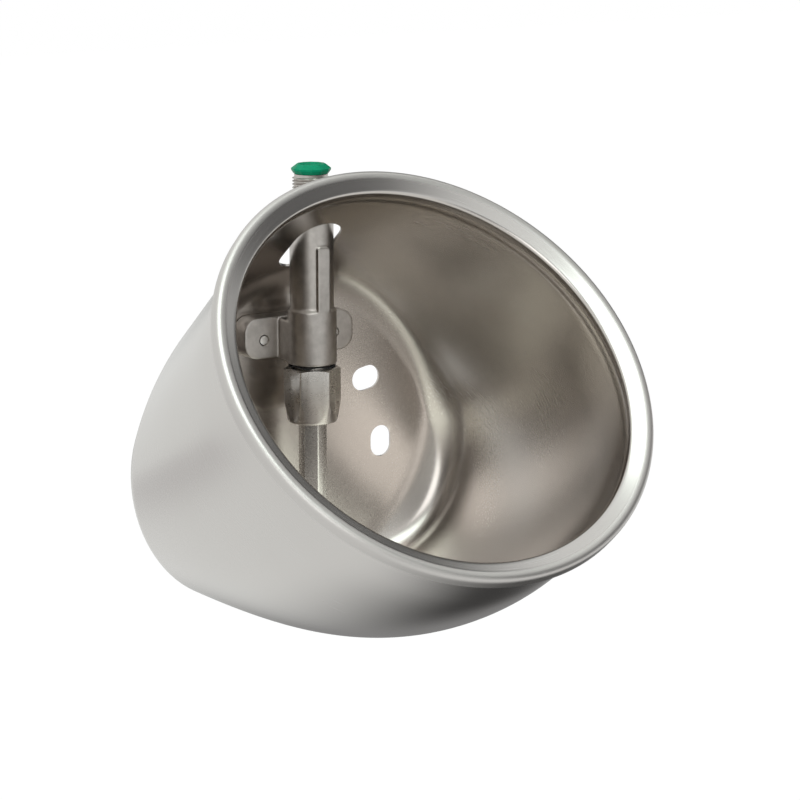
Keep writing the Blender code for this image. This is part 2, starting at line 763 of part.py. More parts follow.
def make_nut_gasket(material):
    outer = NUT_FLATS / 2 - GASKET_INSET
    outline = ring_outline(outer, SPIGOT_RADIUS + SEAT_GAP, GASKET_FOOT + GASKET_HEIGHT, GASKET_FOOT)
    return turned_part("nut_gasket", outline, material)


def make_slip_ring(material):
    top = SLIP_RING_FOOT + SLIP_RING_HEIGHT
    outline = ring_outline(NUT_BORE_RADIUS - SEAT_GAP, NUT_HOLE_RADIUS, top, SLIP_RING_FOOT)
    return turned_part("slip_ring", outline, material)


def make_drinking_tube(material):
    top = HEAD_FOOT - SEAT_GAP
    foot = NUT_FOOT - TUBE_REACH
    tube = add_part("drinking_tube", hexagon_mesh("drinking_tube", TUBE_FLATS, top, foot, TUBE_TURN), material)
    bore = pin_outline(TUBE_BORE_RADIUS, top + CUT_OVERRUN, foot - CUT_OVERRUN)
    boolean(tube, turned_cutter("tube_bore_cutter", bore, SCREW_STEPS), "DIFFERENCE")
    return tube


def make_tube_head(material):
    """A flange that rocks in the nut, on a spigot held in the tube, with holes for the water."""
    spigot = TUBE_BORE_RADIUS - SEAT_GAP
    bore = spigot - HEAD_WALL
    spigot_end = HEAD_FOOT - HEAD_SPIGOT_LENGTH
    outline = [
        (0, HEAD_TOP),
        (HEAD_RADIUS, HEAD_TOP),
        (HEAD_RADIUS, HEAD_FOOT),
        (spigot, HEAD_FOOT),
        (spigot, spigot_end),
        (bore, spigot_end),
        (bore, HEAD_FOOT),
        (0, HEAD_FOOT),
    ]
    head = turned_part("tube_head", outline, material, closed=False)
    for hole in range(HEAD_HOLES):
        angle = math.tau * hole / HEAD_HOLES
        pin = pin_outline(HEAD_HOLE_RADIUS, HEAD_TOP + CUT_OVERRUN, HEAD_FOOT - CUT_OVERRUN)
        cutter = turned_cutter("head_hole_cutter_" + str(hole + 1), pin, SLOT_END_STEPS)
        cutter.location = VALVE_AXIS + Vector((math.cos(angle), math.sin(angle), 0)) * HEAD_HOLE_RING
        boolean(head, cutter, "DIFFERENCE")
    return head


def make_valve_seat(material):
    groove_floor = SEAT_RADIUS - SEAT_RING_SQUEEZE - 2 * SEAT_RING_SECTION - SEAT_GAP
    groove_half = SEAT_RING_SECTION + SEAT_GAP
    groove_middle = SEAT_SHOULDER - SEAT_RING_DEPTH
    outline = [
        (SEAT_BOSS_RADIUS, SEAT_TOP),
        (SEAT_BOSS_RADIUS, SEAT_SHOULDER),
        (SEAT_RADIUS, SEAT_SHOULDER),
        (SEAT_RADIUS, groove_middle + groove_half),
        (groove_floor, groove_middle + groove_half),
        (groove_floor, groove_middle - groove_half),
        (SEAT_RADIUS, groove_middle - groove_half),
        (SEAT_RADIUS, SEAT_FOOT),
        (SEAT_HOLE_RADIUS, SEAT_FOOT),
        (SEAT_HOLE_RADIUS, SEAT_TOP),
    ]
    return turned_part("valve_seat", outline, material, INNER_STEPS)


def make_seat_ring(material):
    middle_radius = SEAT_RADIUS - SEAT_RING_SQUEEZE - SEAT_RING_SECTION
    middle = SEAT_SHOULDER - SEAT_RING_DEPTH
    outline = []
    for step in range(SLOT_END_STEPS):
        angle = -math.tau * step / SLOT_END_STEPS
        radius = middle_radius + SEAT_RING_SECTION * math.cos(angle)
        outline.append((radius, middle + SEAT_RING_SECTION * math.sin(angle)))
    return turned_part("seat_o_ring", outline, material, INNER_STEPS)


def make_seat_lock_ring(material):
    top = SEAT_FOOT - SEAT_GAP
    foot = top - LOCK_RING_HEIGHT
    outline = ring_outline(SEAT_RADIUS, LOCK_RING_BORE, top, foot)
    ring = turned_part("seat_lock_ring", outline, material, INNER_STEPS)
    low = (-SPIGOT_RADIUS, -LOCK_SLOT_WIDTH / 2, foot - CUT_OVERRUN)
    high = (SPIGOT_RADIUS, LOCK_SLOT_WIDTH / 2, foot + LOCK_SLOT_DEPTH)
    boolean(ring, add_cutter("lock_slot_cutter", box_mesh("lock_slot_cutter", low, high)), "DIFFERENCE")
    return ring


def make_plunger_stem(material):
    foot = HEAD_TOP + SEAT_GAP
    collar_top = SEAL_FOOT - SEAT_GAP
    top = HOLDER_TOP + STEM_TAIL
    outline = [(0, top), (STEM_RADIUS, top), (STEM_RADIUS, collar_top), (STEM_COLLAR_RADIUS, collar_top)]
    outline.append((STEM_COLLAR_RADIUS, collar_top - STEM_COLLAR_HEIGHT))
    outline.append((STEM_RADIUS, collar_top - STEM_COLLAR_HEIGHT))
    for step in range(CORNER_STEPS):
        angle = math.pi / 2 * step / CORNER_STEPS
        outline.append((STEM_RADIUS * math.cos(angle), foot + STEM_RADIUS * (1 - math.sin(angle))))
    outline.append((0, foot))
    return turned_part("plunger_stem", outline, material, SCREW_STEPS, closed=False)


def make_seat_seal(material):
    outline = ring_outline(SEAL_RADIUS, STEM_RADIUS + SEAT_GAP, SEAL_FOOT + SEAL_HEIGHT, SEAL_FOOT)
    return turned_part("seat_seal", outline, material, INNER_STEPS)


def make_seal_holder(material):
    outline = ring_outline(HOLDER_RADIUS, STEM_RADIUS + SEAT_GAP, HOLDER_TOP, HOLDER_FOOT)
    return turned_part("seal_holder", outline, material, INNER_STEPS)


def make_return_spring(material):
    """A round wire wound in a coil between the seal holder and the spring washer."""
    curve = bpy.data.curves.new("return_spring", "CURVE")
    curve.dimensions = "3D"
    curve.bevel_depth = SPRING_WIRE / 2
    curve.bevel_resolution = 1
    curve.use_fill_caps = True
    curve.resolution_u = 1
    spline = curve.splines.new("POLY")
    count = SPRING_TURNS * SPRING_TURN_POINTS + 1
    spline.points.add(count - 1)
    low = SPRING_FOOT + SPRING_WIRE / 2
    rise = SPRING_TOP - SPRING_WIRE / 2 - low
    for index, point in enumerate(spline.points):
        angle = math.tau * index / SPRING_TURN_POINTS
        height = low + rise * index / (count - 1)
        point.co = (SPRING_RADIUS * math.cos(angle), SPRING_RADIUS * math.sin(angle), height, 1)
    spring = bpy.data.objects.new("return_spring", curve)
    spring.location = VALVE_AXIS
    curve.materials.append(material)
    parts.objects.link(spring)
    return spring


def make_spring_washer(material):
    outer = CHAMBER_RADIUS - SEAT_GAP
    top = WASHER_FOOT + SPRING_WASHER_HEIGHT
    outline = ring_outline(outer, THROAT_RADIUS - SEAT_GAP, top, WASHER_FOOT)
    return turned_part("spring_washer", outline, material, INNER_STEPS)


def make_flow_nozzle(material):
    outer = INLET_RADIUS - SEAT_GAP
    foot = NOZZLE_FOOT
    top = NOZZLE_TOP
    outline = [
        (outer, top),
        (outer, foot),
        (NOZZLE_HOLE_RADIUS, foot),
        (NOZZLE_HOLE_RADIUS, top - NOZZLE_CONE),
        (NOZZLE_HOLE_RADIUS + NOZZLE_CONE, top),
    ]
    return turned_part("flow_nozzle", outline, material, INNER_STEPS)


def make_strainer_cage(material):
    """A collar on the inlet's step, with a closed basket whose windows the screen covers."""
    collar = INLET_MOUTH_RADIUS - SEAT_GAP
    collar_foot = CAGE_COLLAR_FOOT
    collar_top = collar_foot + CAGE_COLLAR_HEIGHT
    foot = collar_foot - CAGE_LENGTH
    inside = CAGE_RADIUS - CAGE_WALL
    outline = [
        (0, foot + CAGE_FLOOR),
        (inside, foot + CAGE_FLOOR),
        (inside, collar_top),
        (collar, collar_top),
        (collar, collar_foot),
        (CAGE_RADIUS, collar_foot),
        (CAGE_RADIUS, foot),
        (0, foot),
    ]
    cage = turned_part("strainer_cage", outline, material, INNER_STEPS, closed=False)
    low = -CAGE_RADIUS - CUT_OVERRUN
    window_foot = foot + CAGE_FLOOR + WINDOW_MARGIN
    window_top = collar_foot - WINDOW_MARGIN
    for pair in range(WINDOW_PAIRS):
        name = "window_cutter_" + str(pair + 1)
        mesh = box_mesh(name, (low, -WINDOW_WIDTH / 2, window_foot), (-low, WINDOW_WIDTH / 2, window_top))
        cutter = add_cutter(name, mesh)
        cutter.rotation_euler = (0, 0, math.pi * pair / WINDOW_PAIRS)
        boolean(cage, cutter, "DIFFERENCE")
    return cage


def make_strainer_screen(material):
    outer = CAGE_RADIUS - CAGE_WALL - SEAT_GAP
    foot = CAGE_COLLAR_FOOT - CAGE_LENGTH + CAGE_FLOOR + SEAT_GAP
    outline = ring_outline(outer, outer - SCREEN_WALL, INLET_MOUTH_FLOOR, foot)
    return turned_part("strainer_screen", outline, material, INNER_STEPS)


def make_strainer_washer(material):
    foot = CAGE_COLLAR_FOOT + CAGE_COLLAR_HEIGHT + SEAT_GAP
    outer = INLET_MOUTH_RADIUS - SEAT_GAP
    top = foot + STRAINER_WASHER_HEIGHT
    outline = ring_outline(outer, CAGE_RADIUS - CAGE_WALL, top, foot)
    return turned_part("strainer_washer", outline, material, INNER_STEPS)


def make_thread_cap(material):
    """A faceted plastic plug pushed into the inlet, widest half-way up, with a dished top."""
    foot = BODY_TOP + SEAT_GAP
    top = foot + CAP_HEIGHT
    widest = foot + CAP_WIDEST
    plug = INLET_MOUTH_RADIUS - SEAT_GAP
    bore = plug - CAP_PLUG_WALL
    outline = [
        (0, top - CAP_DISH),
        (CAP_TOP_RADIUS - CAP_EDGE - CAP_DISH, top - CAP_DISH),
        (CAP_TOP_RADIUS - CAP_EDGE, top),
        (CAP_TOP_RADIUS, top),
        (CAP_RADIUS, widest + CAP_EDGE / 2),
        (CAP_RADIUS, widest - CAP_EDGE / 2),
        (CAP_FOOT_RADIUS, foot),
        (plug, foot),
        (plug, foot - CAP_PLUG_LENGTH),
        (bore, foot - CAP_PLUG_LENGTH),
        (bore, foot),
        (0, foot),
    ]
    return turned_part("thread_cap", outline, material, CAP_FLATS, closed=False)


clear_scene()
parts = new_collection("livestock_drinking_bowl")
cutters = new_collection("cutters")

stainless_sheet = new_material("satin_stainless_sheet", (0.52, 0.51, 0.49), 1.0, 0.32)
stainless_cast = new_material("cast_stainless", (0.46, 0.44, 0.42), 1.0, 0.42)
stainless_bar = new_material("stainless_bar", (0.50, 0.46, 0.43), 1.0, 0.30)
stainless_wire = new_material("spring_steel", (0.55, 0.54, 0.53), 1.0, 0.25)
seat_plastic = new_material("white_acetal", (0.80, 0.80, 0.77), 0.0, 0.40)
cap_plastic = new_material("green_polyethylene", (0.0, 0.27, 0.13), 0.0, 0.45)
black_rubber = new_material("black_rubber", (0.03, 0.03, 0.03), 0.0, 0.70)
brass = new_material("brass", (0.66, 0.50, 0.24), 1.0, 0.30)

make_bowl(stainless_sheet)
make_valve_body(stainless_cast)
make_fixing_screw("fixing_screw_right", 1, stainless_bar)
make_fixing_screw("fixing_screw_left", -1, stainless_bar)
make_union_nut(stainless_bar)
make_nut_gasket(black_rubber)
make_slip_ring(seat_plastic)
make_drinking_tube(stainless_bar)
make_tube_head(stainless_bar)
make_valve_seat(brass)
make_seat_ring(black_rubber)
make_seat_lock_ring(brass)
make_plunger_stem(stainless_bar)
make_seat_seal(black_rubber)
make_seal_holder(brass)
make_return_spring(stainless_wire)
make_spring_washer(stainless_bar)
make_flow_nozzle(seat_plastic)
make_strainer_cage(seat_plastic)
make_strainer_screen(stainless_wire)
make_strainer_washer(black_rubber)
make_thread_cap(cap_plastic)
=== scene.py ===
"""The looks of a livestock drinking bowl: a pressed stainless bowl with its tube valve.

All lengths are in metres and all angles in degrees. +Z is up, and the bowl hangs on a wall at
Y = 0 and opens towards -Y.
"""

import math

import bmesh
import bpy
import numpy as np
from mathutils import Matrix, Vector


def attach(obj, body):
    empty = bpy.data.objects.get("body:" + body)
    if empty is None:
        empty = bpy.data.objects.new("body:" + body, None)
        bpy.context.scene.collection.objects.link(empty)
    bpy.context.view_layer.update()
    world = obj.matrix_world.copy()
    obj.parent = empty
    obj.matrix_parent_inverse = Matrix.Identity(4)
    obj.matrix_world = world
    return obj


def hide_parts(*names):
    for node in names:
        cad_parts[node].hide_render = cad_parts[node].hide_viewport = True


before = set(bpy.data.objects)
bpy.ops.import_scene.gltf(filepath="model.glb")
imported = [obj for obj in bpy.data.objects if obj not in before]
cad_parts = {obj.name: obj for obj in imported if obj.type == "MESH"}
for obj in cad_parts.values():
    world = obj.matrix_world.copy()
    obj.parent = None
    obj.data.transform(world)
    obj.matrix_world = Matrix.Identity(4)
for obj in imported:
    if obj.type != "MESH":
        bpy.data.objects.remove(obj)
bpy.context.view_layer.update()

# Bowl: mouth, lip, wall, floor and back
CROWN_FORWARD = 0.0715
CROWN_RISE = 0.1479
MOUTH_TILT = 41.5
MOUTH_RADIUS = 0.1255
SHEET = 0.0015
LIP_TOP = 0.0045
LIP_OUTER_BEND = 0.0015
LIP_FLAT = 0.0016
LIP_FLAT_FALL = 0.0002
LIP_BAND_HEAD = (0.1204, 0.00255)
LIP_BAND_FOOT = (0.1146, 0.00025)
LIP_NECK_BEND = (0.1134, -0.00025)
LIP_NECK = (0.1136, -0.0034)
LIP_SKIRT = 0.0026
LIP_BLEND = 0.0130
WALL_RADIUS = 0.1150
WALL_SWELL = 0.0034
WALL_SWELL_DEPTH = 0.0450
CROWN_FLARE_SHARE = 0.070
MIDDLE_DEPTH = 0.060
FLOOR_DROP = 0.1011
FLOOR_RADIUS = 0.1728
FLOOR_CORNER = 0.0470
BACK_FLAT_RADIUS = 0.0860
BACK_CONE_ANGLE = 25.7
BACK_CONE_ROUND = 0.0270
BACK_CORNER = 0.0114
BACK_CORNER_TOP = 0.0095
BACK_CORNER_START = -0.0200
BACK_CORNER_REACH = 0.0800
SPOKES = 180
RINGS = 84
RIB_SAMPLES = 260
RIB_TURN_LENGTH = 0.0700
LIP_OUTER_STEPS = 6
LIP_BAND_STEPS = 5
LIP_NECK_STEPS = 7
LIP_BLEND_STEPS = 4
FIND_STEPS = 26

# Bowl: slots and the opening round the valve
SLOT_WIDTH = 0.0136
SLOT_LENGTH = 0.0182
UPPER_SLOT = (0.0518, 0.0185, 78.0)
LOWER_SLOT = (0.0619, -0.0197, 0.0)
VALVE_HOLE_WIDTH = 0.0285
VALVE_HOLE_LENGTH = 0.0470
VALVE_HOLE_SHIFT = 0.0060
VALVE_HOLE_SIDE = -0.0015
CUT_OVERRUN = 0.0020
END_STEPS = 14
SHEET_SHARP = 40

# Valve body, up from the bowl's middle
VALVE_FORWARD = 0.0281
BODY_TOP = 0.1436
THREAD_FOOT = 0.1281
THREAD_CREST = 0.01048
THREAD_ROOT = 0.00932
THREAD_PITCH = 0.001814
THREAD_COLLAR = 0.0014
THREAD_SLOPE = 1.5
THREAD_VALLEY = 0.25
THREAD_SLEEVE = 0.0012
THREAD_OVERLAP = 0.0002
THREAD_ROWS = 110
THREAD_STEPS = 72
NECK_RADIUS = 0.0096
NECK_FOOT = 0.1266
NECK_ROUND = 0.0006
UPPER_RADIUS = 0.01225
LEDGE_TOP = 0.0691
LEDGE_FOOT = 0.0679
LOWER_RADIUS = 0.0137
BODY_FOOT = 0.0376
BODY_FOOT_ROUND = 0.0004
SPIGOT_RADIUS = 0.0109
SPIGOT_END = 0.0176
BODY_STEPS = 96
CAST_VOXEL = 0.00046
CAST_SMOOTHS = 7
CAST_SMOOTHING = 0.5
CAST_SHARP = 32

# The passage inside the body: each bore's radius and lower end
PASSAGE = (
    (0.0080, 0.1310),
    (0.0062, 0.0870),
    (0.0045, 0.0641),
    (0.0070, 0.0411),
    (0.0092, SPIGOT_END - CUT_OVERRUN),
)
PASSAGE_STEPS = 64

# Lugs, web, strip and screw holes of the valve body
LUG_REACH = 0.0352
LUG_TOP = 0.0631
LUG_FOOT = 0.0399
LUG_CORNER = 0.0085
LUG_FACE = -0.0146
WALL_SIDE = -0.0018
WEB_REACH = 0.0136
WEB_TOP = 0.0623
WEB_FOOT = 0.0390
WEB_BACK = -0.0080
WEB_CORNER = 0.0014
STRIP_WIDTH = 0.0078
STRIP_TOP = 0.1042
STRIP_FOOT = 0.0669
STRIP_SET = 0.0002
STRIP_CORNER = 0.0012
STRIP_ROUND = 0.0010
SCREW_SIDE = 0.0228
SCREW_RISE = 0.0503
SCREW_HOLE_RADIUS = 0.0028
SCREW_HOLE_EDGE = 0.0007
SCREW_HEAD_HOLE_RADIUS = 0.0049
SCREW_HEAD_DEPTH = 0.0027
SCREW_HOLE_STEPS = 40
CORNER_STEPS = 8

# Union nut, gasket and tube
NUT_FLATS = 0.0278
NUT_TURN = 4.5
NUT_TOP = 0.0356
NUT_FOOT = 0.0043
NUT_TAPER_TOP = 0.0171
NUT_TAPER = 0.0021
NUT_TOP_SIDE = 0.0006
NUT_TOP_FALL = 0.0013
NUT_FOOT_ROUND = 0.0015
NUT_FOOT_STEPS = 6
NUT_STEPS = 120
NUT_BORE_STEPS = 72
NUT_FLOOR = 0.0094
NUT_BORE_RADIUS = 0.0114
NUT_HOLE_RADIUS = 0.0090
NUT_HOLE_FLARE = 0.0012
NUT_EDGE = 0.0005
GASKET_OUTER = 0.0132
GASKET_INNER = 0.0112
GASKET_FOOT = 0.0359
GASKET_TOP = 0.0373
GASKET_THICKNESS = 0.00045
GASKET_BULGE = 0.0001
GASKET_WAVES = 6
GASKET_STEPS = 180
TUBE_FLATS = 0.0140
TUBE_TURN = -8.7
TUBE_TOP = 0.0109
TUBE_END = -0.0757
TUBE_BORE_RADIUS = 0.0052
TUBE_EDGE = 0.0006
TUBE_END_TAPER = 0.0012
TUBE_END_FLARE = 0.0008
TUBE_STEPS = 96
TUBE_BORE_STEPS = 48
BAR_SHARP = 24

# Eased edges of the frame's pieces
CAP_EDGE = 0.00035
SCREW_EDGE = 0.0002
EASED_ANGLE = 12
EDGE_SEGMENTS = 3
LONG_EDGE_SEGMENTS = 4
HEXAGON_HALF_ANGLE = math.radians(30)
TINY = 0.000001

# Painted shade that darkens and warms the sheet's inside, and the lip's finish by radius, height and added
# roughness
INSIDE_SHADE_TINT = (0.95, 0.925, 0.90)
INSIDE_SHADE_START = -0.05
INSIDE_SHADE_FULL = -0.35
LIP_BRUSHED_START = 0.1196
LIP_BRUSHED_FULL = 0.1204
LIP_BRUSHED_FOOT = -0.0045
LIP_BRUSHED_TOP = -0.0035
LIP_BRUSHED_LEAST = 0.13
LIP_BRUSHED_MOST = 0.20
LIP_SPECKLE = 900.0

# Finishes: the useful range of a noise, and what rubbing and patches do to the roughness
NOISE_LOW = 0.3
NOISE_HIGH = 0.7
BUMP_DEPTH = 0.0001
METAL_BREAK_UP = 900.0
PATCH_ROUGHNESS = 0.03
METAL_RUB = 0.08
CAST_GRAIN = 1100.0
CAST_MOTTLE = 230.0
CAST_WEAR = {"Start": 0.53, "Full": 0.62, "Break up": 700.0}
CAST_ROUGHNESS = (0.30, 0.42)
CAST_RUB = 0.10
CAST_BUMP = 0.55
CAST_BUMP_DEPTH = 0.00012
MOULDED_MOTTLE = 220.0
MOULDED_WEAR = {"Start": 0.53, "Full": 0.66, "Break up": 800.0}
MOULDED_ROUGHNESS_SHARE = 0.06

# Photograph's view
VIEW_TURN = -32.83
VIEW_RISE = 12.12
VIEW_DISTANCE = 1.6
VIEW_TARGET = (0.01177, -0.1, 0.02786)
VIEW_LENS = 133.36
SENSOR = 36.0
NEAR_CLIP = 0.1

# Room and lamps. A dark part of the room: its way, where it starts and is full, and its tone
DARK_PARTS = (
    ((0.74, 0.50, 0.45), 0.89, 0.965, 0.05),
    ((0.53, -0.40, 0.75), 0.90, 0.985, 0.58),
    ((0.72, -0.62, 0.32), 0.80, 0.96, 0.15),
    ((0.93, 0.13, 0.34), 0.965, 0.995, 0.05),
    ((-0.25, -0.95, 0.12), 0.93, 0.99, 0.20),
    ((-0.45, -0.68, 0.58), 0.90, 0.985, 0.55),
    ((0.55, 0.82, 0.10), 0.90, 0.985, 0.15),
)
ROOM_PALE = (0.95, 0.97, 0.96)
ROOM_LIGHT = 0.55
LAMP_TARGET = (0, -0.12, 0.03)

# Floor. A patch of painted shade that only reflections see: its place, how far from there it starts and is
# full, and its tone
FLOOR_LEVEL = -0.42
FLOOR_REACH = 6.0
FLOOR_PAINTED_SHADE_PARTS = (
    ((0.36, -0.10, FLOOR_LEVEL), 0.60, 0.20, 0.07),
    ((0.36, 0.35, FLOOR_LEVEL), 0.45, 0.15, 0.30),
    ((1.10, 1.90, FLOOR_LEVEL), 1.20, 0.30, 0.30),
    ((-0.75, 1.25, FLOOR_LEVEL), 0.90, 0.20, 0.75),
)
FLOOR_MATT = (0.85, 0.85, 0.85, 1)
FLOOR_WHITE_SHARE = 0.94
FLOOR_WHITE = 1.05
WHITE = (1, 1, 1, 1)

# The mouth's own frame, the valve's axis and the bowl's middle
TILT = math.radians(MOUTH_TILT)
MOUTH_LEAN = TILT - math.pi / 2
MOUTH_OUT = Vector((0, -math.cos(TILT), math.sin(TILT)))
MOUTH_UP = Vector((0, math.sin(TILT), math.cos(TILT)))
MOUTH_SIDE = Vector((1, 0, 0))
MOUTH_CENTRE = Vector((0, -CROWN_FORWARD, CROWN_RISE)) - MOUTH_UP * MOUTH_RADIUS
VALVE_AXIS = Vector((0, -VALVE_FORWARD, 0))
BOWL_MIDDLE = MOUTH_CENTRE - MOUTH_OUT * MIDDLE_DEPTH


# Bowl form


def eased(share):
    """A share from 0 to 1 that starts and ends softly."""
    return share * share * (3 - 2 * share)


def rounded_meet(first, second, radius):
    """Two walls, each a distance that is negative inside, meeting in a rounded corner."""
    one = np.maximum(first + radius, 0)
    two = np.maximum(second + radius, 0)
    return np.minimum(-radius, np.maximum(first, second)) + np.hypot(one, two)


def back_distance(points):
    """Distance behind the back: a round flat on the wall, and a cone that falls away from it."""
    cone = math.radians(BACK_CONE_ANGLE)
    bend = BACK_CONE_ROUND * math.sin(cone)
    beyond = np.maximum(np.hypot(points[..., 0], points[..., 2]) - BACK_FLAT_RADIUS, 0)
    slope = np.arcsin(np.minimum(beyond, bend) / BACK_CONE_ROUND)
    fall = BACK_CONE_ROUND * (1 - np.cos(slope)) + np.maximum(beyond - bend, 0) * math.tan(cone)
    return (points[..., 1] + fall) * np.cos(slope)


def wall_radius(depth, upward_share):
    """The wall swells a little below the lip and stands out more towards its crown."""
    inward = np.maximum(depth, 0)
    swell = WALL_SWELL * np.sin(math.pi / 2 * np.minimum(inward / WALL_SWELL_DEPTH, 1))
    return WALL_RADIUS + swell + CROWN_FLARE_SHARE * inward * np.maximum(upward_share, 0) ** 4


def outside_bowl(points):
    """Negative inside the bowl's outer form and positive outside it."""
    away = points - np.array(MOUTH_CENTRE)
    depth = -away @ np.array(MOUTH_OUT)
    radius = np.linalg.norm(away + depth[..., None] * np.array(MOUTH_OUT), axis=-1)
    upward_share = away @ np.array(MOUTH_UP) / np.maximum(radius, TINY)
    wall = radius - wall_radius(depth, upward_share)
    floor_middle = FLOOR_RADIUS - FLOOR_DROP
    below = np.minimum(points[..., 2] - floor_middle, 0)
    floor = np.hypot(points[..., 0], below) - FLOOR_RADIUS
    climb = np.clip((points[..., 2] - BACK_CORNER_START) / BACK_CORNER_REACH, 0, 1)
    corner = BACK_CORNER + (BACK_CORNER_TOP - BACK_CORNER) * eased(climb)
    return rounded_meet(rounded_meet(wall, floor, FLOOR_CORNER), back_distance(points), corner)


def bowl_points(focus, directions):
    """Where lines from the focus leave the bowl's outer form."""
    near = np.zeros(directions.shape[:-1])
    far = np.full(directions.shape[:-1], 2 * MOUTH_RADIUS)
    for _ in range(FIND_STEPS):
        middle = (near + far) / 2
        inside = outside_bowl(focus + directions * middle[..., None]) < 0
        near = np.where(inside, middle, near)
        far = np.where(inside, far, middle)
    return focus + directions * near[..., None]


def lip_profile():
    """The sheet's lower face from the skirt's edge over the lip to the neck: (radius, height).

    The lip's face is a narrow flat round the outside and a sloping band inside it.
    """
    edge = MOUTH_RADIUS - SHEET
    top = LIP_TOP - SHEET
    points = [(edge, -LIP_SKIRT), (edge, (top - LIP_OUTER_BEND - LIP_SKIRT) / 2)]
    for step in range(LIP_OUTER_STEPS + 1):
        angle = math.pi / 2 * step / LIP_OUTER_STEPS
        away = LIP_OUTER_BEND * math.cos(angle)
        points.append((edge - LIP_OUTER_BEND + away, top - LIP_OUTER_BEND * (1 - math.sin(angle))))
    points.append((edge - LIP_OUTER_BEND - LIP_FLAT, top - LIP_FLAT_FALL))
    band = (LIP_BAND_HEAD, LIP_BAND_FOOT, LIP_NECK_BEND, LIP_NECK)
    head, foot, bend, neck = (Vector(place) for place in band)
    for step in range(LIP_BAND_STEPS + 1):
        points.append(tuple(head.lerp(foot, step / LIP_BAND_STEPS)))
    for step in range(1, LIP_NECK_STEPS + 1):
        share = step / LIP_NECK_STEPS
        points.append(tuple(foot.lerp(bend, share).lerp(bend.lerp(neck, share), share)))
    return points


def even_ribs(lines):
    """Places down each rib, closer together where the sheet turns more."""
    steps = np.diff(lines, axis=1)
    lengths = np.linalg.norm(steps, axis=2)
    ways = steps / lengths[..., None]
    turned = np.arccos(np.clip((ways[:, 1:] * ways[:, :-1]).sum(axis=2), -1, 1))
    weights = lengths.copy()
    weights[:, 1:] += turned * RIB_TURN_LENGTH
    travelled = np.concatenate([np.zeros((len(lines), 1)), np.cumsum(weights, axis=1)], axis=1)
    ribs = []
    for line, passed in zip(lines, travelled):
        wanted = passed[-1] * np.arange(RINGS) / RINGS
        ribs.append(np.stack([np.interp(wanted, passed, line[:, axis]) for axis in range(3)], axis=1))
    return np.array(ribs)


def bowl_sheet_mesh():
    """The bowl's outer face in rings, from the lip's skirt down to the corner of back and floor."""
    centre = np.array(MOUTH_CENTRE)
    out = np.array(MOUTH_OUT)
    focus = centre - out * LIP_BLEND
    around = np.arange(SPOKES) * math.tau / SPOKES
    spokes = np.outer(np.cos(around), np.array(MOUTH_SIDE)) + np.outer(np.sin(around), np.array(MOUTH_UP))
    rings = [centre + spokes * radius + out * height for radius, height in lip_profile()]
    neck_radius, neck_height = lip_profile()[-1]
    wall = wall_radius(np.full(SPOKES, LIP_BLEND), np.sin(around))
    for step in range(1, LIP_BLEND_STEPS):
        share = step / LIP_BLEND_STEPS
        radius = neck_radius + (wall - neck_radius) * eased(share)
        height = neck_height - (LIP_BLEND + neck_height) * share
        rings.append(centre + spokes * radius[:, None] + out * height)
    dips = np.linspace(0, math.pi / 2, RIB_SAMPLES + 1)
    ways = spokes[:, None, :] * np.cos(dips)[None, :, None] - out * np.sin(dips)[None, :, None]
    ribs = even_ribs(bowl_points(focus, ways))
    rings.extend(ribs[:, ring] for ring in range(RINGS))
    corners = np.concatenate(rings)
    deepest = bowl_points(focus, -out[None, :])
    faces = []
    for ring in range(len(rings) - 1):
        upper = ring * SPOKES
        lower = upper + SPOKES
        for step in range(SPOKES):
            beside = (step + 1) % SPOKES
            faces.append((upper + step, lower + step, lower + beside, upper + beside))
    last = (len(rings) - 1) * SPOKES
    for step in range(SPOKES):
        faces.append((last + step, len(corners), last + (step + 1) % SPOKES))
    mesh = bpy.data.meshes.new("bowl_sheet")
    mesh.from_pydata(np.concatenate([corners, deepest]).tolist(), [], faces)
    return mesh


# Mesh helpers


def show(name, mesh):
    piece = bpy.data.objects.new(name, mesh)
    bpy.context.scene.collection.objects.link(piece)
    return piece


def mesh_from(name, form):
    mesh = bpy.data.meshes.new(name)
    bmesh.ops.recalc_face_normals(form, faces=form.faces)
    form.to_mesh(mesh)
    form.free()
    return mesh


def settled(piece):
    """Keep what the modifiers made as the piece's own mesh."""
    bpy.context.view_layer.update()
    seen = bpy.context.evaluated_depsgraph_get()
    mesh = bpy.data.meshes.new_from_object(piece.evaluated_get(seen))
    piece.modifiers.clear()
    piece.data = mesh
    return piece


def smooth_to(piece, angle):
    piece.data.shade_smooth()
    piece.data.set_sharp_from_angle(angle=math.radians(angle))
    return piece


def cut(piece, cutter_mesh, operation="DIFFERENCE"):
    """Cut the piece with a closed form, and leave nothing of the cutter behind."""
    cutter = show("cutter", cutter_mesh)
    modifier = piece.modifiers.new("cut", "BOOLEAN")
    modifier.operation = operation
    modifier.solver = "EXACT"
    modifier.use_self = True
    modifier.object = cutter
    settled(piece)
    bpy.data.objects.remove(cutter)
    return piece


def ring_of(form, places):
    """A ring of corners evenly round the Z axis, each at its own (radius, height)."""
    ring = []
    for step, (radius, height) in enumerate(places):
        angle = math.tau * step / len(places)
        ring.append(form.verts.new((radius * math.cos(angle), radius * math.sin(angle), height)))
    return ring


def close_rings(form, rings):
    """Faces from each ring to the next one, and from the last one back to the first."""
    for one, two in zip(rings, rings[1:] + rings[:1]):
        for step in range(len(one)):
            after = (step + 1) % len(one)
            form.faces.new((one[step], one[after], two[after], two[step]))


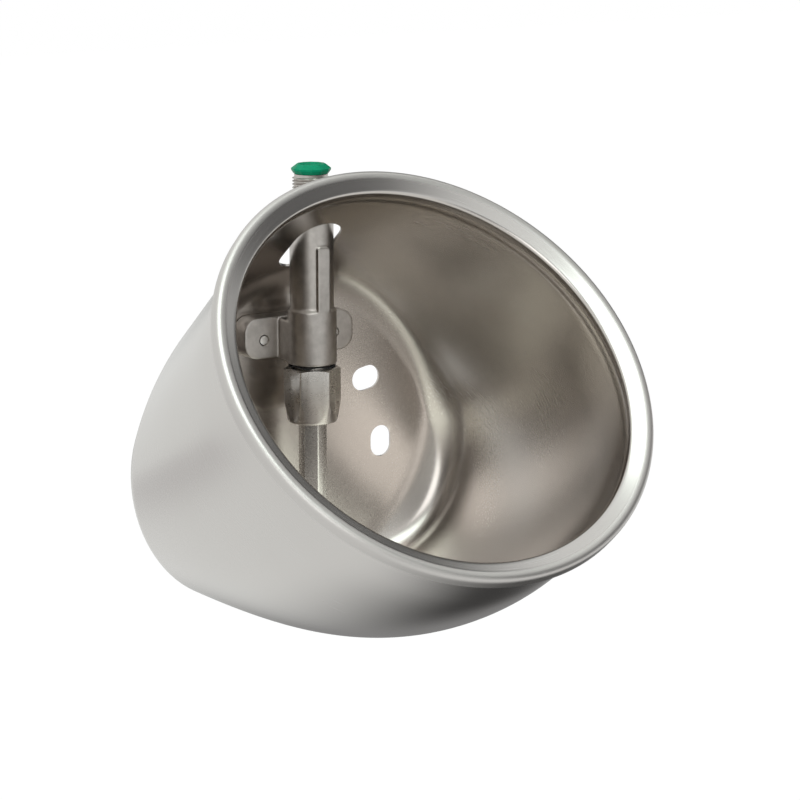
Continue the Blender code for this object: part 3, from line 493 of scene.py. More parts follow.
def turned_form(outline, steps):
    """A turned shell round the Z axis from (radius, height) pairs."""
    form = bmesh.new()
    rings = []
    for radius, height in outline:
        if radius < TINY:
            rings.append([form.verts.new((0, 0, height))])
        else:
            rings.append(ring_of(form, [(radius, height)] * steps))
    for one, two in zip(rings, rings[1:]):
        for step in range(steps):
            after = (step + 1) % steps
            corners = [one[step % len(one)], two[step % len(two)]]
            corners += [two[after % len(two)], one[after % len(one)]]
            corners = list(dict.fromkeys(corners))
            if len(corners) > 2:
                form.faces.new(corners)
    bmesh.ops.recalc_face_normals(form, faces=form.faces)
    return form


def rounded_rectangle(left, right, foot, top, radius):
    """The outline of a rectangle with rounded corners."""
    centres = [
        (right - radius, foot + radius, -90),
        (right - radius, top - radius, 0),
        (left + radius, top - radius, 90),
        (left + radius, foot + radius, 180),
    ]
    points = []
    for x, y, start in centres:
        for step in range(CORNER_STEPS + 1):
            angle = math.radians(start + 90 * step / CORNER_STEPS)
            points.append((x + radius * math.cos(angle), y + radius * math.sin(angle)))
    return points


def rounded_slot(width, length):
    """The outline of a slot with half-round ends."""
    half = width / 2
    reach = length / 2 - half
    points = []
    for centre, start in ((reach, 0), (-reach, 180)):
        for step in range(END_STEPS + 1):
            angle = math.radians(start + 180 * step / END_STEPS)
            points.append((half * math.cos(angle), centre + half * math.sin(angle)))
    return points


def plate_form(outline, low, high, place, round_edge=0):
    """A flat outline made solid between two levels along its own Z."""
    form = bmesh.new()
    lower = [form.verts.new((x, y, low)) for x, y in outline]
    upper = [form.verts.new((x, y, high)) for x, y in outline]
    form.faces.new(list(reversed(lower)))
    form.faces.new(upper)
    for index in range(len(outline)):
        after = (index + 1) % len(outline)
        form.faces.new((lower[index], lower[after], upper[after], upper[index]))
    if round_edge:
        rim = [edge for edge in form.edges if all(vert in upper for vert in edge.verts)]
        bmesh.ops.bevel(
            form, geom=rim, offset=round_edge, segments=EDGE_SEGMENTS, profile=0.5, affect="EDGES"
        )
    form.transform(place)
    bmesh.ops.recalc_face_normals(form, faces=form.faces)
    return form


def add_shell(whole, form):
    """Add a form to a larger one, and free it."""
    mesh = bpy.data.meshes.new("shell")
    form.to_mesh(mesh)
    form.free()
    whole.from_mesh(mesh)
    bpy.data.meshes.remove(mesh)


def joined(name, forms):
    """Several closed shells in one mesh."""
    whole = bmesh.new()
    for form in forms:
        add_shell(whole, form)
    mesh = bpy.data.meshes.new(name)
    whole.to_mesh(mesh)
    whole.free()
    return mesh


def upright(y):
    """Turns a flat outline in X and Y to stand in X and Z, with its own Z towards -Y."""
    return Matrix.Translation((0, y, 0)) @ Matrix.Rotation(math.pi / 2, 4, "X")


def hexagon_form(flats, top, foot, turn_angle, edge):
    """A hexagonal bar with eased long edges."""
    form = bmesh.new()
    radius = flats / 2 / math.cos(HEXAGON_HALF_ANGLE)
    turn = Matrix.Rotation(math.radians(turn_angle), 4, "Z")
    place = Matrix.Translation((0, 0, (top + foot) / 2)) @ turn
    bmesh.ops.create_cone(
        form, cap_ends=True, segments=6, radius1=radius, radius2=radius, depth=top - foot, matrix=place
    )
    long_edges = [e for e in form.edges if abs(e.verts[0].co.z - e.verts[1].co.z) > TINY]
    bmesh.ops.bevel(
        form, geom=long_edges, offset=edge, segments=LONG_EDGE_SEGMENTS, profile=0.5, affect="EDGES"
    )
    return form


# Materials


def feed(tree, node, inputs):
    """Set a node's inputs, which are values or other nodes' outputs."""
    for key, value in inputs.items():
        if isinstance(value, bpy.types.NodeSocket):
            tree.links.new(value, node.inputs[key])
        else:
            node.inputs[key].default_value = value
    return node


def wire(tree, kind, inputs=None, **settings):
    """A new node with its settings and inputs."""
    node = tree.nodes.new(kind)
    for name, value in settings.items():
        setattr(node, name, value)
    return feed(tree, node, inputs or {})


def new_group(name, inputs, outputs):
    tree = bpy.data.node_groups.new(name, "ShaderNodeTree")
    for socket, kind in inputs:
        tree.interface.new_socket(name=socket, in_out="INPUT", socket_type=kind)
    for socket, kind in outputs:
        tree.interface.new_socket(name=socket, in_out="OUTPUT", socket_type=kind)
    return tree, tree.nodes.new("NodeGroupInput"), tree.nodes.new("NodeGroupOutput")


def math_node(tree, operation, *values, clamp=False):
    inputs = dict(enumerate(values))
    return wire(tree, "ShaderNodeMath", inputs, operation=operation, use_clamp=clamp).outputs[0]


def mix_colour(tree, factor, first, second, blend="MIX"):
    inputs = {0: factor, 6: first, 7: second}
    return wire(tree, "ShaderNodeMix", inputs, data_type="RGBA", blend_type=blend).outputs[2]


def spread(tree, value, low, high, to_low=0.0, to_high=1.0):
    """Map a value from one range to another and hold it inside the second."""
    inputs = {"Value": value, "From Min": low, "From Max": high, "To Min": to_low, "To Max": to_high}
    return wire(tree, "ShaderNodeMapRange", inputs).outputs[0]


def spread_noise(tree, value, to_low=0.0, to_high=1.0):
    return spread(tree, value, NOISE_LOW, NOISE_HIGH, to_low, to_high)


def object_place(tree):
    return wire(tree, "ShaderNodeTexCoord").outputs["Object"]


def noise(tree, place, scale, detail, **more):
    inputs = {"Vector": place, "Scale": scale, "Detail": detail, **more}
    return wire(tree, "ShaderNodeTexNoise", inputs).outputs[0]


def darken(tree, tone, value, start, full, dark):
    """Bring a tone softly to a darker grey, as the value goes from its start to where it is full."""
    inputs = {"Value": value, "From Min": start, "From Max": full}
    shade = wire(tree, "ShaderNodeMapRange", inputs, interpolation_type="SMOOTHSTEP").outputs[0]
    return mix_colour(tree, shade, tone, (dark, dark, dark, 1))


def seen_directly(tree, path):
    """High for the camera's own rays and for those that pass through glass."""
    return math_node(tree, "MAXIMUM", path.outputs["Is Camera Ray"], path.outputs["Is Transmission Ray"])


def make_round_place():
    """Place on a round piece: arc length round its axis, height along it, and radius."""
    tree, given, result = new_group(
        "round_place",
        [("Centre", "NodeSocketVector"), ("Lean", "NodeSocketFloat")],
        [("Place", "NodeSocketVector"), ("Height", "NodeSocketFloat"), ("Radius", "NodeSocketFloat")],
    )
    where = object_place(tree)
    inputs = {0: where, 1: given.outputs["Centre"]}
    away = wire(tree, "ShaderNodeVectorMath", inputs, operation="SUBTRACT").outputs[0]
    inputs = {"Vector": away, "Angle": given.outputs["Lean"]}
    leaned = wire(tree, "ShaderNodeVectorRotate", inputs, rotation_type="X_AXIS").outputs[0]
    parts = wire(tree, "ShaderNodeSeparateXYZ", {0: leaned})
    angle = math_node(tree, "ARCTAN2", parts.outputs["X"], parts.outputs["Y"])
    square_x = math_node(tree, "MULTIPLY", parts.outputs["X"], parts.outputs["X"])
    square_y = math_node(tree, "MULTIPLY", parts.outputs["Y"], parts.outputs["Y"])
    radius = math_node(tree, "SQRT", math_node(tree, "ADD", square_x, square_y))
    arc = math_node(tree, "MULTIPLY", angle, radius)
    inputs = {"X": arc, "Y": parts.outputs["Z"], "Z": radius}
    place = wire(tree, "ShaderNodeCombineXYZ", inputs).outputs[0]
    tree.links.new(place, result.inputs["Place"])
    tree.links.new(parts.outputs["Z"], result.inputs["Height"])
    tree.links.new(radius, result.inputs["Radius"])
    return tree


def make_fine_grain():
    """Fine lines that run along the place's X, with broad soft patches between them."""
    tree, given, result = new_group(
        "fine_grain",
        [
            ("Place", "NodeSocketVector"),
            ("Along", "NodeSocketFloat"),
            ("Across", "NodeSocketFloat"),
            ("Patches", "NodeSocketFloat"),
        ],
        [("Grain", "NodeSocketFloat"), ("Patch", "NodeSocketFloat")],
    )
    inputs = {"X": given.outputs["Along"], "Y": given.outputs["Across"], "Z": given.outputs["Across"]}
    density = wire(tree, "ShaderNodeCombineXYZ", inputs).outputs[0]
    inputs = {0: given.outputs["Place"], 1: density}
    drawn = wire(tree, "ShaderNodeVectorMath", inputs, operation="MULTIPLY").outputs[0]
    lines = noise(tree, drawn, 1.0, 4.0)
    patch = noise(tree, given.outputs["Place"], given.outputs["Patches"], 2.0)
    tree.links.new(lines, result.inputs["Grain"])
    tree.links.new(patch, result.inputs["Patch"])
    return tree


def make_edge_wear():
    """A mask that is high on rubbed convex edges, broken up by noise."""
    tree, given, result = new_group(
        "edge_wear",
        [("Start", "NodeSocketFloat"), ("Full", "NodeSocketFloat"), ("Break up", "NodeSocketFloat")],
        [("Wear", "NodeSocketFloat")],
    )
    bend = wire(tree, "ShaderNodeNewGeometry").outputs["Pointiness"]
    where = object_place(tree)
    rubbed = spread(tree, bend, given.outputs["Start"], given.outputs["Full"])
    broken = spread(tree, noise(tree, where, given.outputs["Break up"], 3.0), 0.35, 0.65, 0.5)
    wear = math_node(tree, "MULTIPLY", rubbed, broken, clamp=True)
    tree.links.new(wear, result.inputs["Wear"])
    return tree


def use_group(tree, group, inputs):
    return feed(tree, wire(tree, "ShaderNodeGroup", node_tree=group), inputs)


def new_material(name):
    material = bpy.data.materials.new(name)
    material.use_nodes = True
    tree = material.node_tree
    return material, tree, tree.nodes["Principled BSDF"]


def put(tree, value, shader, socket):
    tree.links.new(value, shader.inputs[socket])


def put_bump(tree, shader, height, strength, distance):
    inputs = {"Strength": strength, "Distance": distance, "Height": height}
    put(tree, wire(tree, "ShaderNodeBump", inputs).outputs[0], shader, "Normal")


def worked_metal(
    name,
    colour,
    pale,
    dull,
    bright,
    roughness,
    grain,
    bump,
    lines_share=0.35,
    centre=VALVE_AXIS,
    lean=0.0,
    wear=(0.52, 0.60),
):
    """Bare metal with fine lines round its axis, soft patches and rubbed edges.

    roughness is (low, high), and grain is (along, across, patches) per metre.
    """
    material, tree, shader = new_material(name)
    shader.inputs["Metallic"].default_value = 1.0
    place = use_group(tree, round_place, {"Centre": centre, "Lean": lean})
    inputs = {"Place": place.outputs["Place"], "Along": grain[0], "Across": grain[1], "Patches": grain[2]}
    lines = use_group(tree, fine_grain, inputs)
    rubbed = use_group(tree, edge_wear, {"Start": wear[0], "Full": wear[1], "Break up": METAL_BREAK_UP})
    patch = spread_noise(tree, lines.outputs["Patch"])
    tone = mix_colour(tree, patch, (*dull, 1), (*colour, 1))
    line = spread_noise(tree, lines.outputs["Grain"])
    tone = mix_colour(tree, math_node(tree, "MULTIPLY", line, lines_share), tone, (*pale, 1))
    tone = mix_colour(tree, rubbed.outputs["Wear"], tone, (*bright, 1))
    put(tree, tone, shader, "Base Color")
    rough = spread_noise(tree, lines.outputs["Grain"], *roughness)
    patchy = spread_noise(tree, lines.outputs["Patch"], -PATCH_ROUGHNESS, PATCH_ROUGHNESS)
    rough = math_node(tree, "ADD", rough, patchy)
    polish = math_node(tree, "MULTIPLY", rubbed.outputs["Wear"], METAL_RUB)
    rough = math_node(tree, "SUBTRACT", rough, polish)
    put(tree, rough, shader, "Roughness")
    put_bump(tree, shader, lines.outputs["Grain"], bump, BUMP_DEPTH)
    return material


def add_lip_and_inside_shade(material):
    """Painted shade makes the pressed sheet darker and warmer on its inside faces, and its lip is brushed
    round the outside.
    """
    tree = material.node_tree
    shader = tree.nodes["Principled BSDF"]
    tone = shader.inputs["Base Color"].links[0].from_socket
    rough = shader.inputs["Roughness"].links[0].from_socket
    shape = wire(tree, "ShaderNodeNewGeometry")
    where = object_place(tree)
    away = wire(tree, "ShaderNodeVectorMath", {0: where, 1: BOWL_MIDDLE}, operation="SUBTRACT").outputs[0]
    way = wire(tree, "ShaderNodeVectorMath", {0: away}, operation="NORMALIZE").outputs[0]
    inputs = {0: shape.outputs["Normal"], 1: way}
    facing = wire(tree, "ShaderNodeVectorMath", inputs, operation="DOT_PRODUCT").outputs["Value"]
    # inward faces are tinted darker and warmer: painted shade inside the bowl
    inside = spread(tree, facing, INSIDE_SHADE_START, INSIDE_SHADE_FULL)
    tone = mix_colour(tree, inside, tone, (*INSIDE_SHADE_TINT, 1), "MULTIPLY")
    put(tree, tone, shader, "Base Color")
    place = use_group(tree, round_place, {"Centre": MOUTH_CENTRE, "Lean": MOUTH_LEAN})
    outer = spread(tree, place.outputs["Radius"], LIP_BRUSHED_START, LIP_BRUSHED_FULL)
    high = spread(tree, place.outputs["Height"], LIP_BRUSHED_FOOT, LIP_BRUSHED_TOP)
    brushed = math_node(tree, "MULTIPLY", outer, high)
    speckle = spread_noise(tree, noise(tree, where, LIP_SPECKLE, 3.0), LIP_BRUSHED_LEAST, LIP_BRUSHED_MOST)
    rough = math_node(tree, "ADD", rough, math_node(tree, "MULTIPLY", brushed, speckle))
    put(tree, rough, shader, "Roughness")


def cast_metal(name, colour, pale, dull):
    """Blasted cast stainless: a fine even grain, softly mottled, brighter where it is rubbed."""
    material, tree, shader = new_material(name)
    shader.inputs["Metallic"].default_value = 1.0
    where = object_place(tree)
    fine = noise(tree, where, CAST_GRAIN, 4.0, Roughness=0.62)
    mottle = noise(tree, where, CAST_MOTTLE, 4.0)
    rubbed = use_group(tree, edge_wear, CAST_WEAR)
    tone = mix_colour(tree, spread_noise(tree, mottle), (*dull, 1), (*colour, 1))
    tone = mix_colour(tree, rubbed.outputs["Wear"], tone, (*pale, 1))
    put(tree, tone, shader, "Base Color")
    rough = spread_noise(tree, fine, *CAST_ROUGHNESS)
    polish = math_node(tree, "MULTIPLY", rubbed.outputs["Wear"], CAST_RUB)
    rough = math_node(tree, "SUBTRACT", rough, polish)
    put(tree, rough, shader, "Roughness")
    put_bump(tree, shader, fine, CAST_BUMP, CAST_BUMP_DEPTH)
    return material


def moulded(name, colour, shade, roughness, speckle, bump, wear=0.3, sheen=0.5):
    """Moulded plastic or rubber: a faint mottle, fine scuffs and paler rubbed edges."""
    material, tree, shader = new_material(name)
    shader.inputs["Specular IOR Level"].default_value = sheen
    where = object_place(tree)
    fine = noise(tree, where, speckle, 4.0, Roughness=0.6)
    broad = noise(tree, where, MOULDED_MOTTLE, 2.0)
    rubbed = use_group(tree, edge_wear, MOULDED_WEAR)
    tone = mix_colour(tree, spread_noise(tree, broad), (*shade, 1), (*colour, 1))
    pale = tuple(min(channel * 1.5 + 0.02, 1) for channel in colour)
    tone = mix_colour(tree, math_node(tree, "MULTIPLY", rubbed.outputs["Wear"], wear), tone, (*pale, 1))
    put(tree, tone, shader, "Base Color")
    lowest, highest = roughness - MOULDED_ROUGHNESS_SHARE, roughness + MOULDED_ROUGHNESS_SHARE
    put(tree, spread_noise(tree, fine, lowest, highest), shader, "Roughness")
    put_bump(tree, shader, fine, bump, BUMP_DEPTH)
    return material


# Pieces


def dress(piece, material, body, node):
    """Give a new piece its finish and its body, and hide the frame's node that it stands for."""
    piece.data.materials.clear()
    piece.data.materials.append(material)
    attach(piece, body)
    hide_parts(node)


def valve_hole_place():
    """Where the opening's cutter stands: square to the upper wall, where the valve passes it."""
    top = MOUTH_CENTRE + MOUTH_UP * WALL_RADIUS
    depth = (-VALVE_FORWARD - top.y) / -MOUTH_OUT.y
    out_more = float(wall_radius(np.array(depth), np.array(1.0))) - WALL_RADIUS
    middle = top - MOUTH_OUT * (depth - VALVE_HOLE_SHIFT) + MOUTH_UP * out_more
    turn = Matrix((MOUTH_SIDE, -MOUTH_OUT, MOUTH_UP)).transposed().to_4x4()
    return Matrix.Translation(middle + MOUTH_SIDE * VALVE_HOLE_SIDE) @ turn


def screw_hole_form(side):
    """A screw's hole through back and lug, with room for its countersunk head."""
    outline = [
        (0, CUT_OVERRUN),
        (SCREW_HEAD_HOLE_RADIUS, CUT_OVERRUN),
        (SCREW_HEAD_HOLE_RADIUS, 0),
        (SCREW_HOLE_RADIUS, -SCREW_HEAD_DEPTH),
        (SCREW_HOLE_RADIUS, LUG_FACE + SCREW_HOLE_EDGE),
        (SCREW_HOLE_RADIUS + SCREW_HOLE_EDGE, LUG_FACE - SCREW_HOLE_EDGE / 2),
        (SCREW_HOLE_RADIUS + SCREW_HOLE_EDGE, -VALVE_FORWARD),
        (0, -VALVE_FORWARD),
    ]
    form = turned_form(outline, SCREW_HOLE_STEPS)
    turn = Matrix.Rotation(-math.pi / 2, 4, "X")
    form.transform(Matrix.Translation((side * SCREW_SIDE, 0, SCREW_RISE)) @ turn)
    return form


def make_bowl_sheet(material):
    """The bowl: its outer face made as thick as the sheet, then cut for slots, screws and valve."""
    bowl = show("bowl_sheet", bowl_sheet_mesh())
    solid = bowl.modifiers.new("sheet", "SOLIDIFY")
    solid.thickness = SHEET
    solid.offset = -1
    solid.use_even_offset = True
    settled(bowl)
    forms = []
    for side in (1, -1):
        for slot_side, rise, turn_angle in (UPPER_SLOT, LOWER_SLOT):
            turn = Matrix.Rotation(math.radians(side * turn_angle), 4, "Y")
            place = Matrix.Translation((side * slot_side, 0, rise)) @ turn @ upright(0)
            outline = rounded_slot(SLOT_WIDTH, SLOT_LENGTH)
            forms.append(plate_form(outline, -SHEET - CUT_OVERRUN, SHEET + CUT_OVERRUN, place))
        forms.append(screw_hole_form(side))
    outline = rounded_slot(VALVE_HOLE_WIDTH, VALVE_HOLE_LENGTH)
    forms.append(plate_form(outline, -UPPER_RADIUS / 2, UPPER_RADIUS / 2, valve_hole_place()))
    cut(bowl, joined("bowl_cutters", forms))
    smooth_to(bowl, SHEET_SHARP)
    dress(bowl, material, "bowl_and_valve", "bowl")


def thread_form():
    """The inlet's thread: one ridge wound up a sleeve, with a plain collar at its end."""
    form = bmesh.new()
    length = BODY_TOP - THREAD_FOOT
    rings = []
    for row in range(THREAD_ROWS + 1):
        height = THREAD_FOOT + length * row / THREAD_ROWS
        below = (height - THREAD_FOOT) / THREAD_PITCH
        above = (BODY_TOP - THREAD_COLLAR - height) / THREAD_PITCH
        fade = min(max(min(below, above * 2), 0), 1)
        places = []
        for step in range(THREAD_STEPS):
            turn = (height / THREAD_PITCH - step / THREAD_STEPS) % 1
            ridge = min(max((1 - abs(2 * turn - 1)) * THREAD_SLOPE - THREAD_VALLEY, 0), 1)
            places.append((THREAD_ROOT + (THREAD_CREST - THREAD_ROOT) * ridge * fade, height))
        rings.append(ring_of(form, places))
    for height in (BODY_TOP, THREAD_FOOT):
        rings.append(ring_of(form, [(THREAD_ROOT - THREAD_SLEEVE, height)] * THREAD_STEPS))
    close_rings(form, rings)
    bmesh.ops.recalc_face_normals(form, faces=form.faces)
    form.transform(Matrix.Translation(VALVE_AXIS))
    return form


def passage_form():
    """The stepped bores that run down the valve body."""
    upper = BODY_TOP + CUT_OVERRUN
    outline = [(0, upper)]
    for radius, lower in PASSAGE:
        outline += [(radius, upper), (radius, lower)]
        upper = lower
    outline.append((0, upper))
    form = turned_form(outline, PASSAGE_STEPS)
    form.transform(Matrix.Translation(VALVE_AXIS))
    return form


def make_valve_casting(material):
    """The valve body: barrel, lugs, web and strip in one cast skin, bored, and threaded on top."""
    outline = [
        (0, THREAD_FOOT + THREAD_OVERLAP),
        (NECK_RADIUS, THREAD_FOOT + THREAD_OVERLAP),
        (NECK_RADIUS, NECK_FOOT),
        (UPPER_RADIUS - NECK_ROUND, NECK_FOOT),
        (UPPER_RADIUS, NECK_FOOT - NECK_ROUND),
        (UPPER_RADIUS, LEDGE_TOP),
        (LOWER_RADIUS, LEDGE_FOOT),
        (LOWER_RADIUS, BODY_FOOT + BODY_FOOT_ROUND),
        (LOWER_RADIUS - BODY_FOOT_ROUND, BODY_FOOT),
        (SPIGOT_RADIUS, BODY_FOOT),
        (SPIGOT_RADIUS, SPIGOT_END),
        (0, SPIGOT_END),
    ]
    body = turned_form(outline, BODY_STEPS)
    body.transform(Matrix.Translation(VALVE_AXIS))
    lug_outline = rounded_rectangle(-LUG_REACH, LUG_REACH, LUG_FOOT, LUG_TOP, LUG_CORNER)
    lugs = plate_form(lug_outline, 0, WALL_SIDE - LUG_FACE, upright(WALL_SIDE))
    web_outline = rounded_rectangle(-WEB_REACH, WEB_REACH, WEB_FOOT, WEB_TOP, WEB_CORNER)
    web = plate_form(web_outline, 0, WEB_BACK + VALVE_FORWARD, upright(WEB_BACK))
    half = STRIP_WIDTH / 2
    strip_outline = rounded_rectangle(-half, half, STRIP_FOOT, STRIP_TOP, STRIP_CORNER)
    strip_place = upright(-VALVE_FORWARD)
    strip = plate_form(strip_outline, 0, LOWER_RADIUS - STRIP_SET, strip_place, STRIP_ROUND)
    casting = show("valve_casting", joined("valve_casting", [body, lugs, web, strip]))
    remesh = casting.modifiers.new("cast skin", "REMESH")
    remesh.mode = "VOXEL"
    remesh.voxel_size = CAST_VOXEL
    ease = casting.modifiers.new("cast edges", "SMOOTH")
    ease.factor = CAST_SMOOTHING
    ease.iterations = CAST_SMOOTHS
    settled(casting)
    cut(casting, joined("valve_cutters", [passage_form()]))
    cut(casting, joined("lug_cutters", [screw_hole_form(1), screw_hole_form(-1)]))
    whole = bmesh.new()
    whole.from_mesh(casting.data)
    add_shell(whole, thread_form())
    whole.to_mesh(casting.data)
    whole.free()
    smooth_to(casting, CAST_SHARP)
    dress(casting, material, "bowl_and_valve", "valve_body")


def make_nut(material):
    """The union nut: a hexagon inside a turned envelope, with its bore and the tube's hole."""
    form = hexagon_form(NUT_FLATS, NUT_TOP + CUT_OVERRUN, NUT_FOOT - CUT_OVERRUN, NUT_TURN, NUT_EDGE)
    nut = show("nut", mesh_from("nut", form))
    face = NUT_FLATS / 2
    corner = face / math.cos(HEXAGON_HALF_ANGLE)
    foot_radius = corner - NUT_TAPER
    outline = [(0, NUT_TOP), (face - NUT_TOP_SIDE, NUT_TOP)]
    outline += [(corner, NUT_TOP - NUT_TOP_FALL), (corner, NUT_TAPER_TOP)]
    for step in range(NUT_FOOT_STEPS + 1):
        angle = math.pi / 2 * step / NUT_FOOT_STEPS
        radius = foot_radius - NUT_FOOT_ROUND * (1 - math.cos(angle))
        outline.append((radius, NUT_FOOT + NUT_FOOT_ROUND * (1 - math.sin(angle))))
    outline.append((0, NUT_FOOT))
    cut(nut, mesh_from("nut_envelope", turned_form(outline, NUT_STEPS)), "INTERSECT")
    bore = [
        (0, NUT_TOP + CUT_OVERRUN),
        (NUT_BORE_RADIUS, NUT_TOP + CUT_OVERRUN),
        (NUT_BORE_RADIUS, NUT_FLOOR),
        (NUT_HOLE_RADIUS, NUT_FLOOR),
        (NUT_HOLE_RADIUS + NUT_HOLE_FLARE, NUT_FOOT),
        (NUT_HOLE_RADIUS + NUT_HOLE_FLARE, NUT_FOOT - CUT_OVERRUN),
        (0, NUT_FOOT - CUT_OVERRUN),
    ]
    cut(nut, mesh_from("nut_bore", turned_form(bore, NUT_BORE_STEPS)))
    nut.data.transform(Matrix.Translation(VALVE_AXIS))
    smooth_to(nut, BAR_SHARP)
    dress(nut, material, "bowl_and_valve", "union_nut")


def make_gasket(material):
    """A thin ring pressed into waves between the body and the nut."""
    form = bmesh.new()
    rise = (GASKET_TOP - GASKET_FOOT - GASKET_THICKNESS) / 2
    middle = (GASKET_TOP + GASKET_FOOT) / 2
    section = (
        (GASKET_OUTER, -1),
        (GASKET_OUTER + GASKET_BULGE, 0),
        (GASKET_OUTER, 1),
        (GASKET_INNER, 1),
        (GASKET_INNER, -1),
    )
    rings = []
    for radius, lift in section:
        places = []
        for step in range(GASKET_STEPS):
            wave = rise * math.sin(GASKET_WAVES * (math.tau * step / GASKET_STEPS))
            places.append((radius, middle + wave + lift * GASKET_THICKNESS / 2))
        rings.append(ring_of(form, places))
    close_rings(form, rings)
    form.transform(Matrix.Translation(VALVE_AXIS))
    gasket = show("gasket", mesh_from("gasket", form))
    smooth_to(gasket, SHEET_SHARP)
    dress(gasket, material, "bowl_and_valve", "nut_gasket")


def make_tube(material):
    """The hexagonal tube, with its corners turned off at the end and its bore eased there."""
    form = hexagon_form(TUBE_FLATS, TUBE_TOP, TUBE_END, TUBE_TURN, TUBE_EDGE)
    tube = show("tube", mesh_from("tube", form))
    corner = TUBE_FLATS / 2 / math.cos(HEXAGON_HALF_ANGLE)
    outline = [
        (0, TUBE_TOP + CUT_OVERRUN),
        (corner, TUBE_TOP + CUT_OVERRUN),
        (corner, TUBE_END + TUBE_END_TAPER),
        (corner - TUBE_END_TAPER, TUBE_END),
        (0, TUBE_END),
    ]
    cut(tube, mesh_from("tube_envelope", turned_form(outline, TUBE_STEPS)), "INTERSECT")
    bore = [
        (0, TUBE_TOP + CUT_OVERRUN),
        (TUBE_BORE_RADIUS, TUBE_TOP + CUT_OVERRUN),
        (TUBE_BORE_RADIUS, TUBE_END + TUBE_END_FLARE),
        (TUBE_BORE_RADIUS + TUBE_END_FLARE, TUBE_END),
        (TUBE_BORE_RADIUS + TUBE_END_FLARE, TUBE_END - CUT_OVERRUN),
        (0, TUBE_END - CUT_OVERRUN),
    ]
    cut(tube, mesh_from("tube_bore", turned_form(bore, TUBE_BORE_STEPS)))
    tube.data.transform(Matrix.Translation(VALVE_AXIS))
    smooth_to(tube, BAR_SHARP)
    dress(tube, material, "tube", "drinking_tube")


def paint(node, material, edge=0):
    """Give a piece of the frame its finish, and ease its edges where they show."""
    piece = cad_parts[node]
    for index in range(len(piece.data.materials)):
        piece.data.materials[index] = material
    if not piece.data.materials:
        piece.data.materials.append(material)
    if edge:
        bevel = piece.modifiers.new("eased edges", "BEVEL")
        bevel.width = edge
        bevel.segments = EDGE_SEGMENTS
        bevel.limit_method = "ANGLE"
        bevel.angle_limit = math.radians(EASED_ANGLE)


# Stage


def make_floor():
    """A pale floor that shows as white; glossy rays see it glowing, with painted shade in a few dark parts.
    """
    mesh = bpy.data.meshes.new("floor")
    signs = ((-1, -1), (1, -1), (1, 1), (-1, 1))
    corners = [(x * FLOOR_REACH, y * FLOOR_REACH, FLOOR_LEVEL) for x, y in signs]
    mesh.from_pydata(corners, [], [(0, 1, 2, 3)])
    floor = show("floor", mesh)
    material = bpy.data.materials.new("pale_floor")
    material.use_nodes = True
    tree = material.node_tree
    tree.nodes.clear()
    where = object_place(tree)
    painted_mirror_tone = (*ROOM_PALE, 1)
    # painted shade: dark patches in the glowing tone that only glossy rays see, standing in for shadow and
    # darker surroundings
    for place, start, full, tone in FLOOR_PAINTED_SHADE_PARTS:
        away = wire(tree, "ShaderNodeVectorMath", {0: where, 1: place}, operation="DISTANCE")
        painted_mirror_tone = darken(tree, painted_mirror_tone, away.outputs["Value"], start, full, tone)
    path = wire(tree, "ShaderNodeLightPath")
    matt = wire(tree, "ShaderNodeBsdfDiffuse", {"Color": FLOOR_MATT}).outputs[0]
    white = wire(tree, "ShaderNodeEmission", {"Color": WHITE, "Strength": FLOOR_WHITE}).outputs[0]
    mirrored = wire(tree, "ShaderNodeEmission", {"Color": painted_mirror_tone, "Strength": 1.0}).outputs[0]
    share = math_node(tree, "MULTIPLY", seen_directly(tree, path), FLOOR_WHITE_SHARE)
    seen = wire(tree, "ShaderNodeMixShader", {0: share, 1: matt, 2: white}).outputs[0]
    glossy = path.outputs["Is Glossy Ray"]
    both = wire(tree, "ShaderNodeMixShader", {0: glossy, 1: seen, 2: mirrored}).outputs[0]
    wire(tree, "ShaderNodeOutputMaterial", {"Surface": both})
    mesh.materials.append(material)


def make_world():
    """A white room whose soft dark parts only show in reflections and in the light it gives."""
    world = bpy.data.worlds.new("studio")
    bpy.context.scene.world = world
    world.use_nodes = True
    tree = world.node_tree
    tree.nodes.clear()
    way = wire(tree, "ShaderNodeTexCoord").outputs["Generated"]
    room = (*ROOM_PALE, 1)
    for dark_way, start, full, tone in DARK_PARTS:
        inputs = {0: way, 1: Vector(dark_way).normalized()}
        facing = wire(tree, "ShaderNodeVectorMath", inputs, operation="DOT_PRODUCT")
        room = darken(tree, room, facing.outputs["Value"], start, full, tone)
    path = wire(tree, "ShaderNodeLightPath")
    glossy = path.outputs["Is Glossy Ray"]
    lit = wire(tree, "ShaderNodeBackground", {"Color": room, "Strength": ROOM_LIGHT}).outputs[0]
    mirrored = wire(tree, "ShaderNodeBackground", {"Color": room, "Strength": 1.0}).outputs[0]
    white = wire(tree, "ShaderNodeBackground", {"Color": WHITE, "Strength": 1.0}).outputs[0]
    mixed = wire(tree, "ShaderNodeMixShader", {0: glossy, 1: lit, 2: mirrored}).outputs[0]
    final = wire(tree, "ShaderNodeMixShader", {0: seen_directly(tree, path), 1: mixed, 2: white}).outputs[0]
    wire(tree, "ShaderNodeOutputWorld", {"Surface": final})


def aim(obj, target):
    way = Vector(target) - obj.location
    obj.rotation_euler = way.to_track_quat("-Z", "Y").to_euler()


def make_lamp(name, place, size, power, colour):
    light = bpy.data.lights.new(name, "AREA")
    light.shape = "SQUARE"
    light.size = size
    light.energy = power
    light.color = colour
    lamp = bpy.data.objects.new(name, light)
    lamp.location = place
    bpy.context.scene.collection.objects.link(lamp)
    aim(lamp, LAMP_TARGET)


